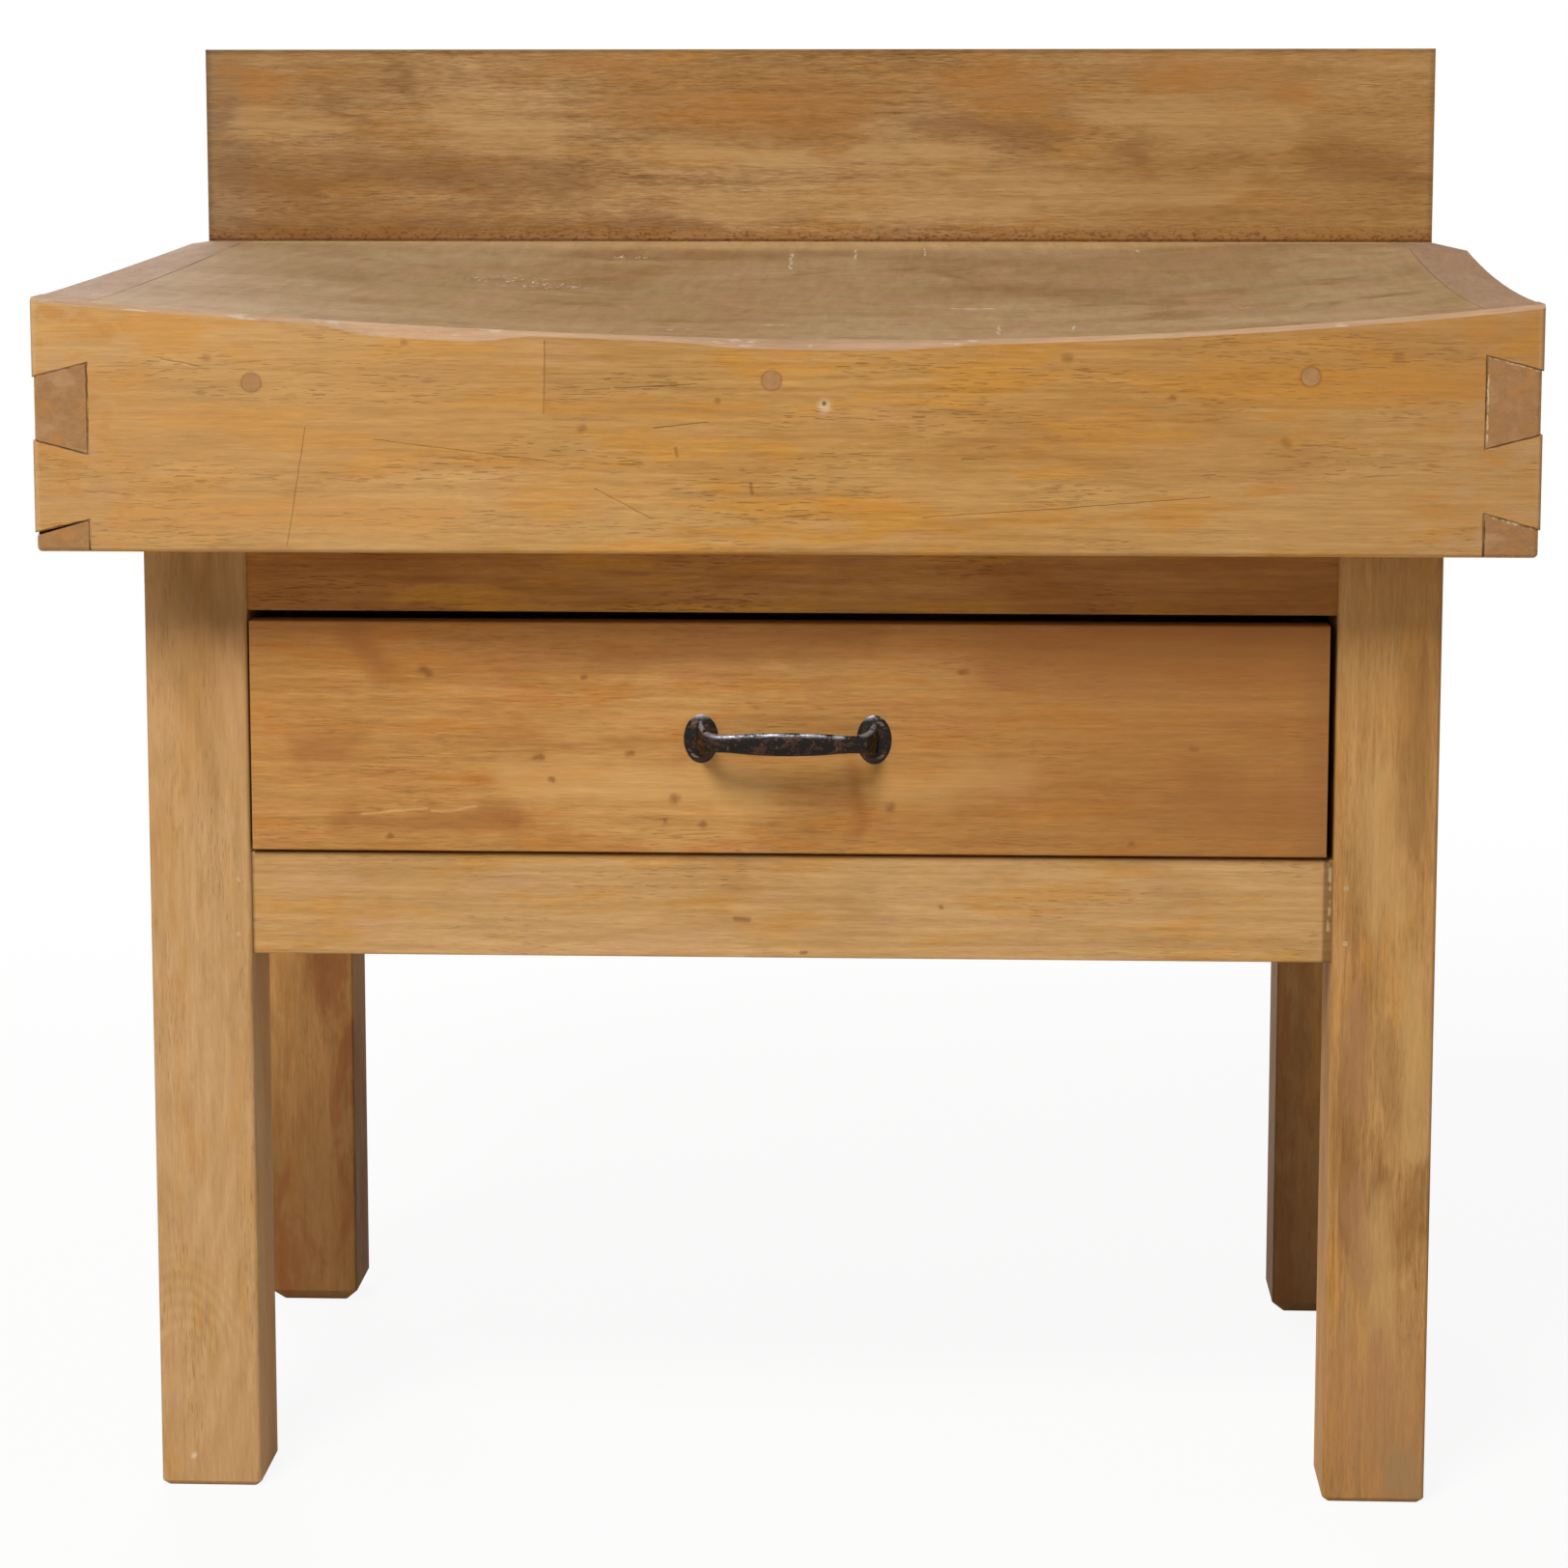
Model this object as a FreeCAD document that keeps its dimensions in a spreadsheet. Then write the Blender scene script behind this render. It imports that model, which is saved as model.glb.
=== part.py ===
import FreeCAD, Part
import math
import os
import Sketcher

# A butcher block table: a thick laminated block, held in a dovetailed frame and worn hollow at
# the front, on a four-legged pegged base with one full-width drawer and a raised splashback.
# Millimetres, +Z up, the front faces -Y. The origin is on the floor, under the middle of the
# whole object's box.

doc = FreeCAD.newDocument("ButcherBlockTable")
sheet = doc.addObject("Spreadsheet::Sheet", "Sizes")

driving_sizes = {
    # the block and its dovetailed frame
    "block_width": 1067,
    "block_depth": 686,
    "block_thickness": 203,
    "frame_board": 40,
    "stave_count": 8,
    "pin_wide": 65,
    "pin_narrow": 44.5,
    "left_pin_height": 102,
    "right_pin_height": 109,
    "left_foot_wide": 23,
    "left_foot_narrow": 13.5,
    "right_foot_wide": 31,
    "right_foot_narrow": 19.5,
    "crown_wide": 21,
    "crown_narrow": 11,
    "block_edge_round": 3.5,
    "pin_inset": 1.5,
    "open_joint_outer": 2.6,
    "open_joint_inner": 0.4,
    # the hollow worn into the top, deepest at the front edge
    "wear_at_ends": 25,
    "wear_dish": 26.5,
    "wear_middle": 74,
    "wear_span_left": 574,
    "wear_span_right": 459,
    "wear_shape": 1.8,
    "wear_reach": 670,
    "wear_reach_left": 614,
    "wear_reach_right": 430,
    "wear_curve_left": 1.3,
    "wear_curve_right": 2,
    "wear_end_blend": 4,
    "front_bevel_height": 3.3,
    "front_bevel_depth": 6,
    # two longer places where the bevel is worn or chipped deeper
    "left_chip_middle": -254,
    "left_chip_half_length": 78,
    "left_chip_height": 6,
    "middle_chip_middle": 28,
    "middle_chip_half_length": 110,
    "middle_chip_height": 3.6,
    # pegs through the frame boards
    "peg_diameter": 13,
    "peg_length": 100,
    # splashback
    "splash_thickness": 25,
    "splash_height": 229,
    "splash_lap": 63,
    "splash_round": 1.5,
    "splash_screws": 5,
    "splash_screw_margin": 80,
    "splash_screw_length": 55,
    # legs
    "leg_length": 711,
    "leg_width": 75,
    "leg_setback": 60,
    "leg_pitch": 478,
    "leg_round": 3.5,
    "front_foot_chamfer": 4,
    "rear_foot_chamfer": 10,
    "base_width": 942,
    "base_offset": 2.75,
    "dowel_diameter": 20,
    "dowel_length": 60,
    "dowel_inset": 45,
    # rails and aprons
    "rail_thickness": 32,
    "rail_recess": 4,
    "upper_rail_height": 49,
    "lower_rail_height": 76,
    "lower_rail_bottom": 407,
    "apron_thickness": 22,
    "apron_tenon_height": 90,
    "tenon_length": 40,
    "tenon_thickness": 12,
    "tenon_shoulder": 10,
    "rail_round": 1.5,
    "rail_pin_diameter": 4.5,
    "rail_pin_length": 50,
    "rail_pin_inset": 9.5,
    "rail_pin_upper": 56,
    "rail_pin_lower": 15,
    # what the drawer runs on
    "runner_width": 30,
    "runner_thickness": 24,
    "runner_top": 485,
    "guide_height": 50,
    "guide_clearance": 1.75,
    "kicker_thickness": 22,
    "stop_length": 45,
    "stop_width": 12,
    "stop_height": 7,
    # drawer
    "drawer_width": 785,
    "drawer_offset": 1.75,
    "drawer_height": 169.5,
    "drawer_depth": 500,
    "drawer_front_thickness": 22,
    "drawer_lap": 8,
    "drawer_board": 12,
    "drawer_side_height": 165,
    "drawer_tails": 3,
    "drawer_tail_share": 0.62,
    "drawer_tail_flare": 2.3,
    "drawer_bottom_thickness": 8,
    "drawer_bottom_rise": 8,
    "drawer_groove": 6,
    "drawer_clearance": 0.4,
    # iron handle
    "handle_pitch": 126,
    "handle_offset": 0.85,
    "handle_height": 570,
    "rosette_width": 25.5,
    "rosette_height": 36,
    "rosette_dome": 6,
    "rosette_sink": 2,
    "bow_projection": 30,
    "bow_corner": 17,
    "bow_root_height": 29,
    "bow_neck_height": 13,
    "bow_belly_height": 17,
    "bow_thickness": 7.5,
    "bow_spring": 3,
    "bow_flare": 1.4,
    "handle_screw_pitch": 19.5,
    "handle_screw_outset": 3.6,
    "handle_screw_length": 20,
    "screw_head": 8,
    "screw_shank": 4,
    "screw_slot": 1.2,
}

for row, (alias, size) in enumerate(driving_sizes.items(), start=1):
    sheet.set(f"A{row}", alias)
    sheet.set(f"B{row}", str(size))
    sheet.setAlias(f"B{row}", alias)
doc.recompute()

# Places that several pieces share, as expressions on the sheet.
front = "-(Sizes.block_depth + Sizes.splash_thickness) / 2"
back = f"{front} + Sizes.block_depth"
underside = "Sizes.leg_length"
top = "Sizes.leg_length + Sizes.block_thickness"
leg_front = f"{front} + Sizes.leg_setback"
rail_front = f"{leg_front} + Sizes.rail_recess"
drawer_floor = "Sizes.runner_top + Sizes.drawer_clearance"


def value(expression):
    """An expression on the sheet as a number."""
    return float(sheet.evalExpression(str(expression)))


def bind(item, name, expression):
    """A property of an object follows an expression on the sheet."""
    item.setExpression(name, str(expression))


def place(item, at):
    """An object's place, as three expressions."""
    for axis, expression in zip("xyz", at):
        bind(item, f"Placement.Base.{axis}", expression)
    return item


def outline(body, role, points, lift="0"):
    """A closed sketch through points on one of the body's own planes; each point is two expressions."""
    sketch = body.newObject("Sketcher::SketchObject", body.Name + "_outline")
    plane = next(item for item in body.Origin.OriginFeatures if item.Role == role)
    sketch.AttachmentSupport = (plane, [""])
    sketch.MapMode = "FlatFace"
    bind(sketch, "AttachmentOffset.Base.z", lift)
    corners = [FreeCAD.Vector(value(x), value(y), 0) for x, y in points]
    for start, end in zip(corners, corners[1:] + corners[:1]):
        sketch.addGeometry(Part.LineSegment(start, end))
    for line, point in enumerate(points):
        following = (line + 1) % len(points)
        sketch.addConstraint(Sketcher.Constraint("Coincident", line, 2, following, 1))
        for kind, expression in zip(("DistanceX", "DistanceY"), point):
            constraint = Sketcher.Constraint(kind, -1, 1, line, 1, value(expression))
            index = sketch.addConstraint(constraint)
            bind(sketch, f"Constraints[{index}]", expression)
    return sketch


def pad(body, sketch, length, backwards=False):
    """A pad of the sketch, to a length given as an expression."""
    feature = body.newObject("PartDesign::Pad", body.Name + "_pad")
    feature.Profile = sketch
    feature.Reversed = backwards
    bind(feature, "Length", length)
    doc.recompute()
    return feature


def board(name, size, at):
    """A squared board in its own body: length along X, width along Y, padded up to its height."""
    body = doc.addObject("PartDesign::Body", name)
    length, width, height = size
    corners = [("0", "0"), (length, "0"), (length, width), ("0", width)]
    pad(body, outline(body, "XY_Plane", corners), height)
    return place(body, at)


def edges_where(feature, test):
    """The names of the feature's edges that pass a test."""
    return [f"Edge{n}" for n, edge in enumerate(feature.Shape.Edges, start=1) if test(edge)]


def ease(body, kind, size, test):
    """Rounds ("Fillet") or bevels ("Chamfer") the edges of the body's last feature that pass a test."""
    solid = body.Tip
    feature = body.newObject("PartDesign::" + kind, body.Name + "_" + kind.lower())
    feature.Base = (solid, edges_where(solid, test))
    bind(feature, "Radius" if kind == "Fillet" else "Size", size)
    doc.recompute()
    return feature


def runs_along(axis):
    """A test for straight edges that run along one axis."""

    def test(edge):
        if edge.Curve.TypeId != "Part::GeomLine":
            return False
        return abs(getattr(edge.Curve.Direction, axis)) > 0.999

    return test


def cylinder(name, diameter, length, at, direction):
    """A round peg along a direction; its place is three expressions."""
    peg = doc.addObject("Part::Cylinder", name)
    bind(peg, "Radius", f"({diameter}) / 2")
    bind(peg, "Height", length)
    peg.Placement.Rotation = FreeCAD.Rotation(FreeCAD.Vector(0, 0, 1), FreeCAD.Vector(*direction))
    return place(peg, at)


def box(name, size, at):
    """A plain box, for a tenon or a small block."""
    item = doc.addObject("Part::Box", name)
    for side, expression in zip(("Length", "Width", "Height"), size):
        bind(item, side, expression)
    return place(item, at)


def group(name, members):
    """Several solids that share one node."""
    item = doc.addObject("Part::Compound", name)
    item.Links = members
    return item


def fused(name, members):
    """One solid made of several that touch."""
    item = doc.addObject("Part::MultiFuse", name)
    item.Shapes = members
    return item


def cut(name, base, tools):
    """The base with the room for its neighbours cut out."""
    item = doc.addObject("Part::Cut", name)
    item.Base = base
    item.Tool = tools[0] if len(tools) == 1 else fused(name + "_room", tools)
    return item


# ---- The block ----


def tail_outline():
    """The front elevation of a tail board: tails widen towards its ends, and the pins fill the rest."""
    points = []
    for side, sign in (("right", ""), ("left", "-")):
        inner = f"{sign}(Sizes.block_width / 2 - Sizes.frame_board)"
        outer = f"{sign}Sizes.block_width / 2"
        middle = f"Sizes.{side}_pin_height"
        end = [
            (inner, "0"),
            (inner, f"Sizes.{side}_foot_wide"),
            (outer, f"Sizes.{side}_foot_narrow"),
            (outer, f"{middle} - Sizes.pin_narrow / 2"),
            (inner, f"{middle} - Sizes.pin_wide / 2"),
            (inner, f"{middle} + Sizes.pin_wide / 2"),
            (outer, f"{middle} + Sizes.pin_narrow / 2"),
            (outer, "Sizes.block_thickness - Sizes.crown_narrow"),
            (inner, "Sizes.block_thickness - Sizes.crown_wide"),
            (inner, "Sizes.block_thickness"),
        ]
        points += end if side == "right" else end[::-1]
    return points


def tail_board(name, near_face, outer):
    """A frame board with through tails at both ends, its outer edges eased below and at the ends."""
    body = doc.addObject("PartDesign::Body", name)
    pad(body, outline(body, "XZ_Plane", tail_outline()), "Sizes.frame_board", backwards=True)
    outer_y = value(outer)
    end_x = value("Sizes.block_width / 2")

    def is_outer(edge):
        box = edge.BoundBox
        if abs(box.YMin - outer_y) > 0.01 or abs(box.YMax - outer_y) > 0.01:
            return False
        at_end = abs(box.XMin) > end_x - 0.01 and box.XLength < 0.01
        return at_end or box.ZMax < 0.01

    ease(body, "Fillet", "Sizes.block_edge_round", is_outer)
    return place(body, ("0", near_face, underside))


def worn_depth(x, distance):
    """How far the top is worn down at x, at a distance behind the front edge (negative: not worn)."""
    middle = value("Sizes.wear_middle")
    side = "right" if x > middle else "left"
    across = abs(x - middle) / value(f"Sizes.wear_span_{side}")
    at_front = value("Sizes.wear_at_ends") + value("Sizes.wear_dish") * (
        1 - across ** value("Sizes.wear_shape")
    )
    blend = across ** value("Sizes.wear_end_blend")
    reach = value("Sizes.wear_reach")
    reach += (value(f"Sizes.wear_reach_{side}") - reach) * blend
    curve = value("Sizes.wear_shape")
    curve += (value(f"Sizes.wear_curve_{side}") - curve) * blend
    return at_front * (1 - (max(distance, 0) / reach) ** curve)


def stations(low, high, count):
    """Evenly spaced numbers from low to high."""
    return [low + (high - low) * n / (count - 1) for n in range(count)]


def wood_above(rows):
    """A solid of all that lies above a smooth face through rows of points."""
    surface = Part.BSplineSurface()
    surface.interpolate(rows)
    return surface.toShape().extrude(FreeCAD.Vector(0, 0, value("Sizes.block_thickness")))


overrun = 20
across_block = stations(
    value("-Sizes.block_width / 2") - overrun, value("Sizes.block_width / 2") + overrun, 17
)
along_block = stations(-overrun, value("Sizes.block_depth") + overrun, 13)

worn_away = doc.addObject("Part::Feature", "worn_away")
worn_away.Shape = wood_above(
    [
        [
            FreeCAD.Vector(x, value(front) + distance, value(top) - worn_depth(x, distance))
            for distance in along_block
        ]
        for x in across_block
    ]
)



def bevel_height(x):
    """How far down the front face the bevel reaches at x."""
    height = value("Sizes.front_bevel_height")
    for chip in ("left_chip", "middle_chip"):
        along = abs(x - value(f"Sizes.{chip}_middle")) / value(f"Sizes.{chip}_half_length")
        height += value(f"Sizes.{chip}_height") * max(1 - along**4, 0) ** 2
    return height


# the bevel along the worn front edge, as one more slice taken off its front board
bevel_depth = value("Sizes.front_bevel_depth")
front_bevel = doc.addObject("Part::Feature", "front_bevel")
front_bevel.Shape = wood_above(
    [
        [
            FreeCAD.Vector(
                x,
                value(front) + distance,
                value(top)
                - worn_depth(x, distance)
                + (distance / bevel_depth - 1) * bevel_height(x),
            )
            for distance in stations(-2, bevel_depth + 1, 4)
        ]
        for x in stations(across_block[0], across_block[-1], 49)
    ]
)

# each peg's place along the board and height above the block's underside
peg_places = {
    "left": ("-376", "121"),
    "middle": ("-7", "123.5"),
    "right": ("371", "127"),
}


def pegs(name, start, direction):
    """Three dowel pegs driven through a frame board into the staves."""
    members = [
        cylinder(
            f"{name}_{spot}",
            "Sizes.peg_diameter",
            "Sizes.peg_length",
            (x, start, f"{underside} + {height}"),
            direction,
        )
        for spot, (x, height) in peg_places.items()
    ]
    return group(name, members)


front_pegs = pegs("front_pegs", front, (0, 1, 0))
rear_pegs = pegs("rear_pegs", back, (0, -1, 0))

# dowels stand in the leg tops and keep the heavy block from sliding off its base
leg_left = {
    "left": "Sizes.base_offset - Sizes.base_width / 2",
    "right": "Sizes.base_offset + Sizes.base_width / 2 - Sizes.leg_width",
}
leg_near = {"front": leg_front, "rear": f"{leg_front} + Sizes.leg_pitch"}
# clear of the tenons in the legs
dowel_from_near = {
    "front": "Sizes.dowel_inset",
    "rear": "Sizes.leg_width - Sizes.dowel_inset",
}
locating_dowels = group(
    "locating_dowels",
    [
        cylinder(
            f"dowel_{row}_{side}",
            "Sizes.dowel_diameter",
            "Sizes.dowel_length",
            (
                f"{leg_left[side]} + Sizes.leg_width / 2",
                f"{leg_near[row]} + {dowel_from_near[row]}",
                f"{underside} - Sizes.dowel_length / 2",
            ),
            (0, 0, 1),
        )
        for row in ("front", "rear")
        for side in ("left", "right")
    ],
)

front_tails = tail_board("front_tails", front, "0")
rear_tails = tail_board("rear_tails", f"{back} - Sizes.frame_board", "Sizes.frame_board")
block_front_board = cut("block_front_board", front_tails, [worn_away, front_bevel, front_pegs])


# ---- Screws ----


def wood_screw(name, length, at, direction):
    """A slotted countersunk screw, turned about its own axis; it points along a direction."""
    body = doc.addObject("PartDesign::Body", name)
    head = "Sizes.screw_head / 2"
    shank = "Sizes.screw_shank / 2"
    profile = [
        ("0", "0"),
        (head, "0"),
        (head, "0.6"),
        (shank, "0.6 + (Sizes.screw_head - Sizes.screw_shank) / 2"),
        (shank, f"{length} - Sizes.screw_shank"),
        ("0", length),
    ]
    turned = body.newObject("PartDesign::Revolution", name + "_turned")
    turned.Profile = outline(body, "XZ_Plane", profile)
    turned.ReferenceAxis = (turned.Profile[0], ["V_Axis"])
    turned.Angle = 360
    doc.recompute()
    slot = body.newObject("PartDesign::Pocket", name + "_slot")
    half_slot = "Sizes.screw_slot / 2"
    slot.Profile = outline(
        body,
        "XY_Plane",
        [
            (f"-{head} - 1", f"-{half_slot}"),
            (f"{head} + 1", f"-{half_slot}"),
            (f"{head} + 1", half_slot),
            (f"-{head} - 1", half_slot),
        ],
    )
    slot.Reversed = True
    bind(slot, "Length", "Sizes.screw_slot")
    body.Placement.Rotation = FreeCAD.Rotation(FreeCAD.Vector(0, 0, 1), FreeCAD.Vector(*direction))
    return place(body, at)


screw_step = "(Sizes.block_width - 2 * Sizes.splash_screw_margin) / (Sizes.splash_screws - 1)"
splashback_screws = group(
    "splashback_screws",
    [
        wood_screw(
            f"splashback_screw_{n + 1}",
            "Sizes.splash_screw_length",
            (
                f"-Sizes.block_width / 2 + Sizes.splash_screw_margin + {n} * {screw_step}",
                f"{back} + Sizes.splash_thickness",
                f"{top} - Sizes.splash_lap / 2",
            ),
            (0, -1, 0),
        )
        for n in range(int(value("Sizes.splash_screws")))
    ],
)

block_rear_board = cut("block_rear_board", rear_tails, [worn_away, rear_pegs, splashback_screws])

# the joint above the lowest left pin has opened a little
open_joint = doc.addObject("PartDesign::Body", "open_joint")
pad(
    open_joint,
    outline(
        open_joint,
        "XZ_Plane",
        [
            ("-Sizes.block_width / 2", "Sizes.left_foot_narrow"),
            ("-(Sizes.block_width / 2 - Sizes.frame_board)", "Sizes.left_foot_wide"),
            (
                "-(Sizes.block_width / 2 - Sizes.frame_board)",
                "Sizes.left_foot_wide - Sizes.open_joint_inner",
            ),
            ("-Sizes.block_width / 2", "Sizes.left_foot_narrow - Sizes.open_joint_outer"),
        ],
    ),
    "Sizes.frame_board",
    backwards=True,
)
place(open_joint, ("0", front, underside))

for side, near_edge in (
    ("left", "Sizes.pin_inset - Sizes.block_width / 2"),
    ("right", "Sizes.block_width / 2 - Sizes.frame_board"),
):
    blank = board(
        f"{side}_pins",
        ("Sizes.frame_board - Sizes.pin_inset", "Sizes.block_depth", "Sizes.block_thickness"),
        (near_edge, front, underside),
    )
    outer_x = 0 if side == "left" else value("Sizes.frame_board - Sizes.pin_inset")

    def is_outer(edge):
        box = edge.BoundBox
        upright = box.ZLength > 1 and abs(box.XMin - outer_x) < 0.01
        along_side = box.YLength > 1 and abs(box.XMin - outer_x) < 0.01
        across_end = box.XLength > 1
        return upright or (box.ZMax < 0.01 and (along_side or across_end))

    ease(blank, "Fillet", "Sizes.block_edge_round", is_outer)
    # the pins are what the two tail boards leave of the blank's ends
    room = [front_tails, rear_tails, worn_away, front_bevel]
    cut(f"block_{side}_board", blank, room + [open_joint] if side == "left" else room)

stave_width = "(Sizes.block_depth - 2 * Sizes.frame_board) / Sizes.stave_count"
for n in range(int(value("Sizes.stave_count"))):
    blank = board(
        f"stave_{n + 1}",
        ("Sizes.block_width - 2 * Sizes.frame_board", stave_width, "Sizes.block_thickness"),
        (
            "-Sizes.block_width / 2 + Sizes.frame_board",
            f"{front} + Sizes.frame_board + {n} * {stave_width}",
            underside,
        ),
    )
    cut(f"core_stave_{n + 1}", blank, [worn_away, front_pegs, rear_pegs, locating_dowels])

# ---- Splashback ----

splash_blank = board(
    "splash_blank",
    ("Sizes.block_width", "Sizes.splash_thickness", "Sizes.splash_height"),
    ("-Sizes.block_width / 2", back, f"{top} - Sizes.splash_lap"),
)
top_of_splash = value("Sizes.splash_height")
ease(
    splash_blank,
    "Fillet",
    "Sizes.splash_round",
    lambda edge: runs_along("x")(edge) and edge.BoundBox.ZMin > top_of_splash - 1,
)
splashback = cut("splashback", splash_blank, [splashback_screws])

# ---- The base ----

inside_left = f"{leg_left['left']} + Sizes.leg_width"
inside_right = leg_left["right"]
between_legs = f"({inside_right}) - ({inside_left})"
apron_height = f"{underside} - Sizes.lower_rail_bottom"


def rail(name, thickness, height, near, bottom, tenon_near, tenon_heights):
    """A rail across the base with tenons at both ends; returns the rail and its tenons."""
    plain = board(
        f"{name}_board", (between_legs, thickness, height), (inside_left, near, bottom)
    )
    ease(plain, "Fillet", "Sizes.rail_round", runs_along("x"))
    tenons = {
        side: [
            box(
                f"{name}_tenon_{side}_{n}",
                ("Sizes.tenon_length", "Sizes.tenon_thickness", tall),
                (start, tenon_near, low),
            )
            for n, (low, tall) in enumerate(tenon_heights)
        ]
        for side, start in (
            ("left", f"{inside_left} - Sizes.tenon_length"),
            ("right", inside_right),
        )
    }
    return fused(f"{name}_joined", [plain] + tenons["left"] + tenons["right"]), tenons


rail_tenon_near = f"{rail_front} + (Sizes.rail_thickness - Sizes.tenon_thickness) / 2"
upper_rail, upper_tenons = rail(
    "upper_rail",
    "Sizes.rail_thickness",
    "Sizes.upper_rail_height",
    rail_front,
    f"{underside} - Sizes.upper_rail_height",
    rail_tenon_near,
    [
        (
            f"{underside} - Sizes.upper_rail_height",
            "Sizes.upper_rail_height - Sizes.tenon_shoulder",
        )
    ],
)
lower_rail, lower_tenons = rail(
    "lower_rail",
    "Sizes.rail_thickness",
    "Sizes.lower_rail_height",
    rail_front,
    "Sizes.lower_rail_bottom",
    rail_tenon_near,
    [
        (
            "Sizes.lower_rail_bottom + Sizes.tenon_shoulder / 2",
            "Sizes.lower_rail_height - Sizes.tenon_shoulder",
        )
    ],
)

# wide aprons are tenoned twice, with the wood between left whole
apron_tenons_at = [
    ("Sizes.lower_rail_bottom + Sizes.tenon_shoulder", "Sizes.apron_tenon_height"),
    (
        f"{underside} - Sizes.tenon_shoulder - Sizes.apron_tenon_height",
        "Sizes.apron_tenon_height",
    ),
]
rear_apron_near = (
    f"{leg_near['rear']} + Sizes.leg_width - Sizes.rail_recess - Sizes.apron_thickness"
)
rear_apron, rear_tenons = rail(
    "rear_apron",
    "Sizes.apron_thickness",
    apron_height,
    rear_apron_near,
    "Sizes.lower_rail_bottom",
    f"{rear_apron_near} + (Sizes.apron_thickness - Sizes.tenon_thickness) / 2",
    apron_tenons_at,
)
rear_apron.Label = "rear_apron"
upper_rail.Label = "front_upper_rail"

side_tenons = {}
apron_left = {
    "left": f"{leg_left['left']} + Sizes.rail_recess",
    "right": f"{leg_left['right']} + Sizes.leg_width - Sizes.rail_recess - Sizes.apron_thickness",
}
behind_front_legs = f"{leg_front} + Sizes.leg_width"
between_rows = "Sizes.leg_pitch - Sizes.leg_width"
for side in ("left", "right"):
    plain = board(
        f"{side}_apron_board",
        ("Sizes.apron_thickness", between_rows, apron_height),
        (apron_left[side], behind_front_legs, "Sizes.lower_rail_bottom"),
    )
    ease(plain, "Fillet", "Sizes.rail_round", runs_along("y"))
    tenon_left = (
        f"{apron_left[side]} + (Sizes.apron_thickness - Sizes.tenon_thickness) / 2"
    )
    for row, start in (
        ("front", f"{behind_front_legs} - Sizes.tenon_length"),
        ("rear", leg_near["rear"]),
    ):
        side_tenons[side, row] = [
            box(
                f"{side}_apron_tenon_{row}_{n}",
                ("Sizes.tenon_thickness", "Sizes.tenon_length", tall),
                (tenon_left, start, low),
            )
            for n, (low, tall) in enumerate(apron_tenons_at)
        ]
    joined = fused(
        f"{side}_apron_joined", [plain] + side_tenons[side, "front"] + side_tenons[side, "rear"]
    )
    joined.Label = f"{side}_side_apron"

# two pins through each front leg hold the lower rail's tenons
pin_left = {
    "left": f"{inside_left} - Sizes.rail_pin_inset",
    "right": f"{inside_right} + Sizes.rail_pin_inset",
}
rail_pins = group(
    "rail_pins",
    [
        cylinder(
            f"rail_pin_{side}_{level}",
            "Sizes.rail_pin_diameter",
            "Sizes.rail_pin_length",
            (
                pin_left[side],
                leg_front,
                f"Sizes.lower_rail_bottom + Sizes.rail_pin_{level}",
            ),
            (0, 1, 0),
        )
        for side in ("left", "right")
        for level in ("upper", "lower")
    ],
)
cut("front_lower_rail", lower_rail, [rail_pins])

for row in ("front", "rear"):
    for side in ("left", "right"):
        leg = board(
            f"{row}_{side}_leg_blank",
            ("Sizes.leg_width", "Sizes.leg_width", "Sizes.leg_length"),
            (leg_left[side], leg_near[row], "0"),
        )
        ease(leg, "Chamfer", f"Sizes.{row}_foot_chamfer", lambda edge: edge.BoundBox.ZMax < 1)
        ease(leg, "Fillet", "Sizes.leg_round", lambda edge: edge.BoundBox.ZLength > 1)
        room = list(side_tenons[side, row]) + [locating_dowels]
        if row == "front":
            room += upper_tenons[side] + lower_tenons[side] + [rail_pins]
        else:
            room += rear_tenons[side]
        cut(f"leg_{row}_{side}", leg, room)

# ---- What the drawer runs on ----

rail_back = f"{rail_front} + Sizes.rail_thickness"
runner_run = f"({rear_apron_near}) - ({rail_back})"
drawer_left = "Sizes.base_offset - Sizes.drawer_offset - Sizes.drawer_width / 2"
guide_face = {
    "left": inside_left,
    "right": f"{drawer_left} + Sizes.drawer_width + Sizes.guide_clearance",
}
for side in ("left", "right"):
    runner_left = inside_left
    guide_left = f"{apron_left['left']} + Sizes.apron_thickness"
    guide_width = f"({inside_left}) - ({guide_left})"
    if side == "right":
        runner_left = f"{guide_face[side]} - Sizes.runner_width"
        guide_left = guide_face[side]
        guide_width = f"({apron_left['right']}) - ({guide_left})"
    for name, thickness, bottom in (
        ("runner", "Sizes.runner_thickness", "Sizes.runner_top - Sizes.runner_thickness"),
        ("kicker", "Sizes.kicker_thickness", f"{underside} - Sizes.upper_rail_height"),
    ):
        strip = board(
            f"{side}_{name}_strip",
            ("Sizes.runner_width", runner_run, thickness),
            (runner_left, rail_back, bottom),
        )
        strip.Label = f"drawer_{name}_{side}"
    guide = board(
        f"{side}_guide_strip",
        (guide_width, between_rows, "Sizes.guide_height"),
        (guide_left, behind_front_legs, "Sizes.runner_top - Sizes.runner_thickness"),
    )
    guide.Label = f"drawer_guide_{side}"

stop_near = f"{leg_front} + Sizes.drawer_front_thickness + Sizes.drawer_clearance"
drawer_stops = group(
    "drawer_stops",
    [
        box(
            f"drawer_stop_{n}",
            ("Sizes.stop_length", "Sizes.stop_width", "Sizes.stop_height"),
            (
                f"Sizes.base_offset {sign} Sizes.drawer_width / 3 - Sizes.stop_length / 2",
                stop_near,
                "Sizes.lower_rail_bottom + Sizes.lower_rail_height",
            ),
        )
        for n, sign in enumerate("-+", start=1)
    ],
)

# ---- The drawer ----

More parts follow.
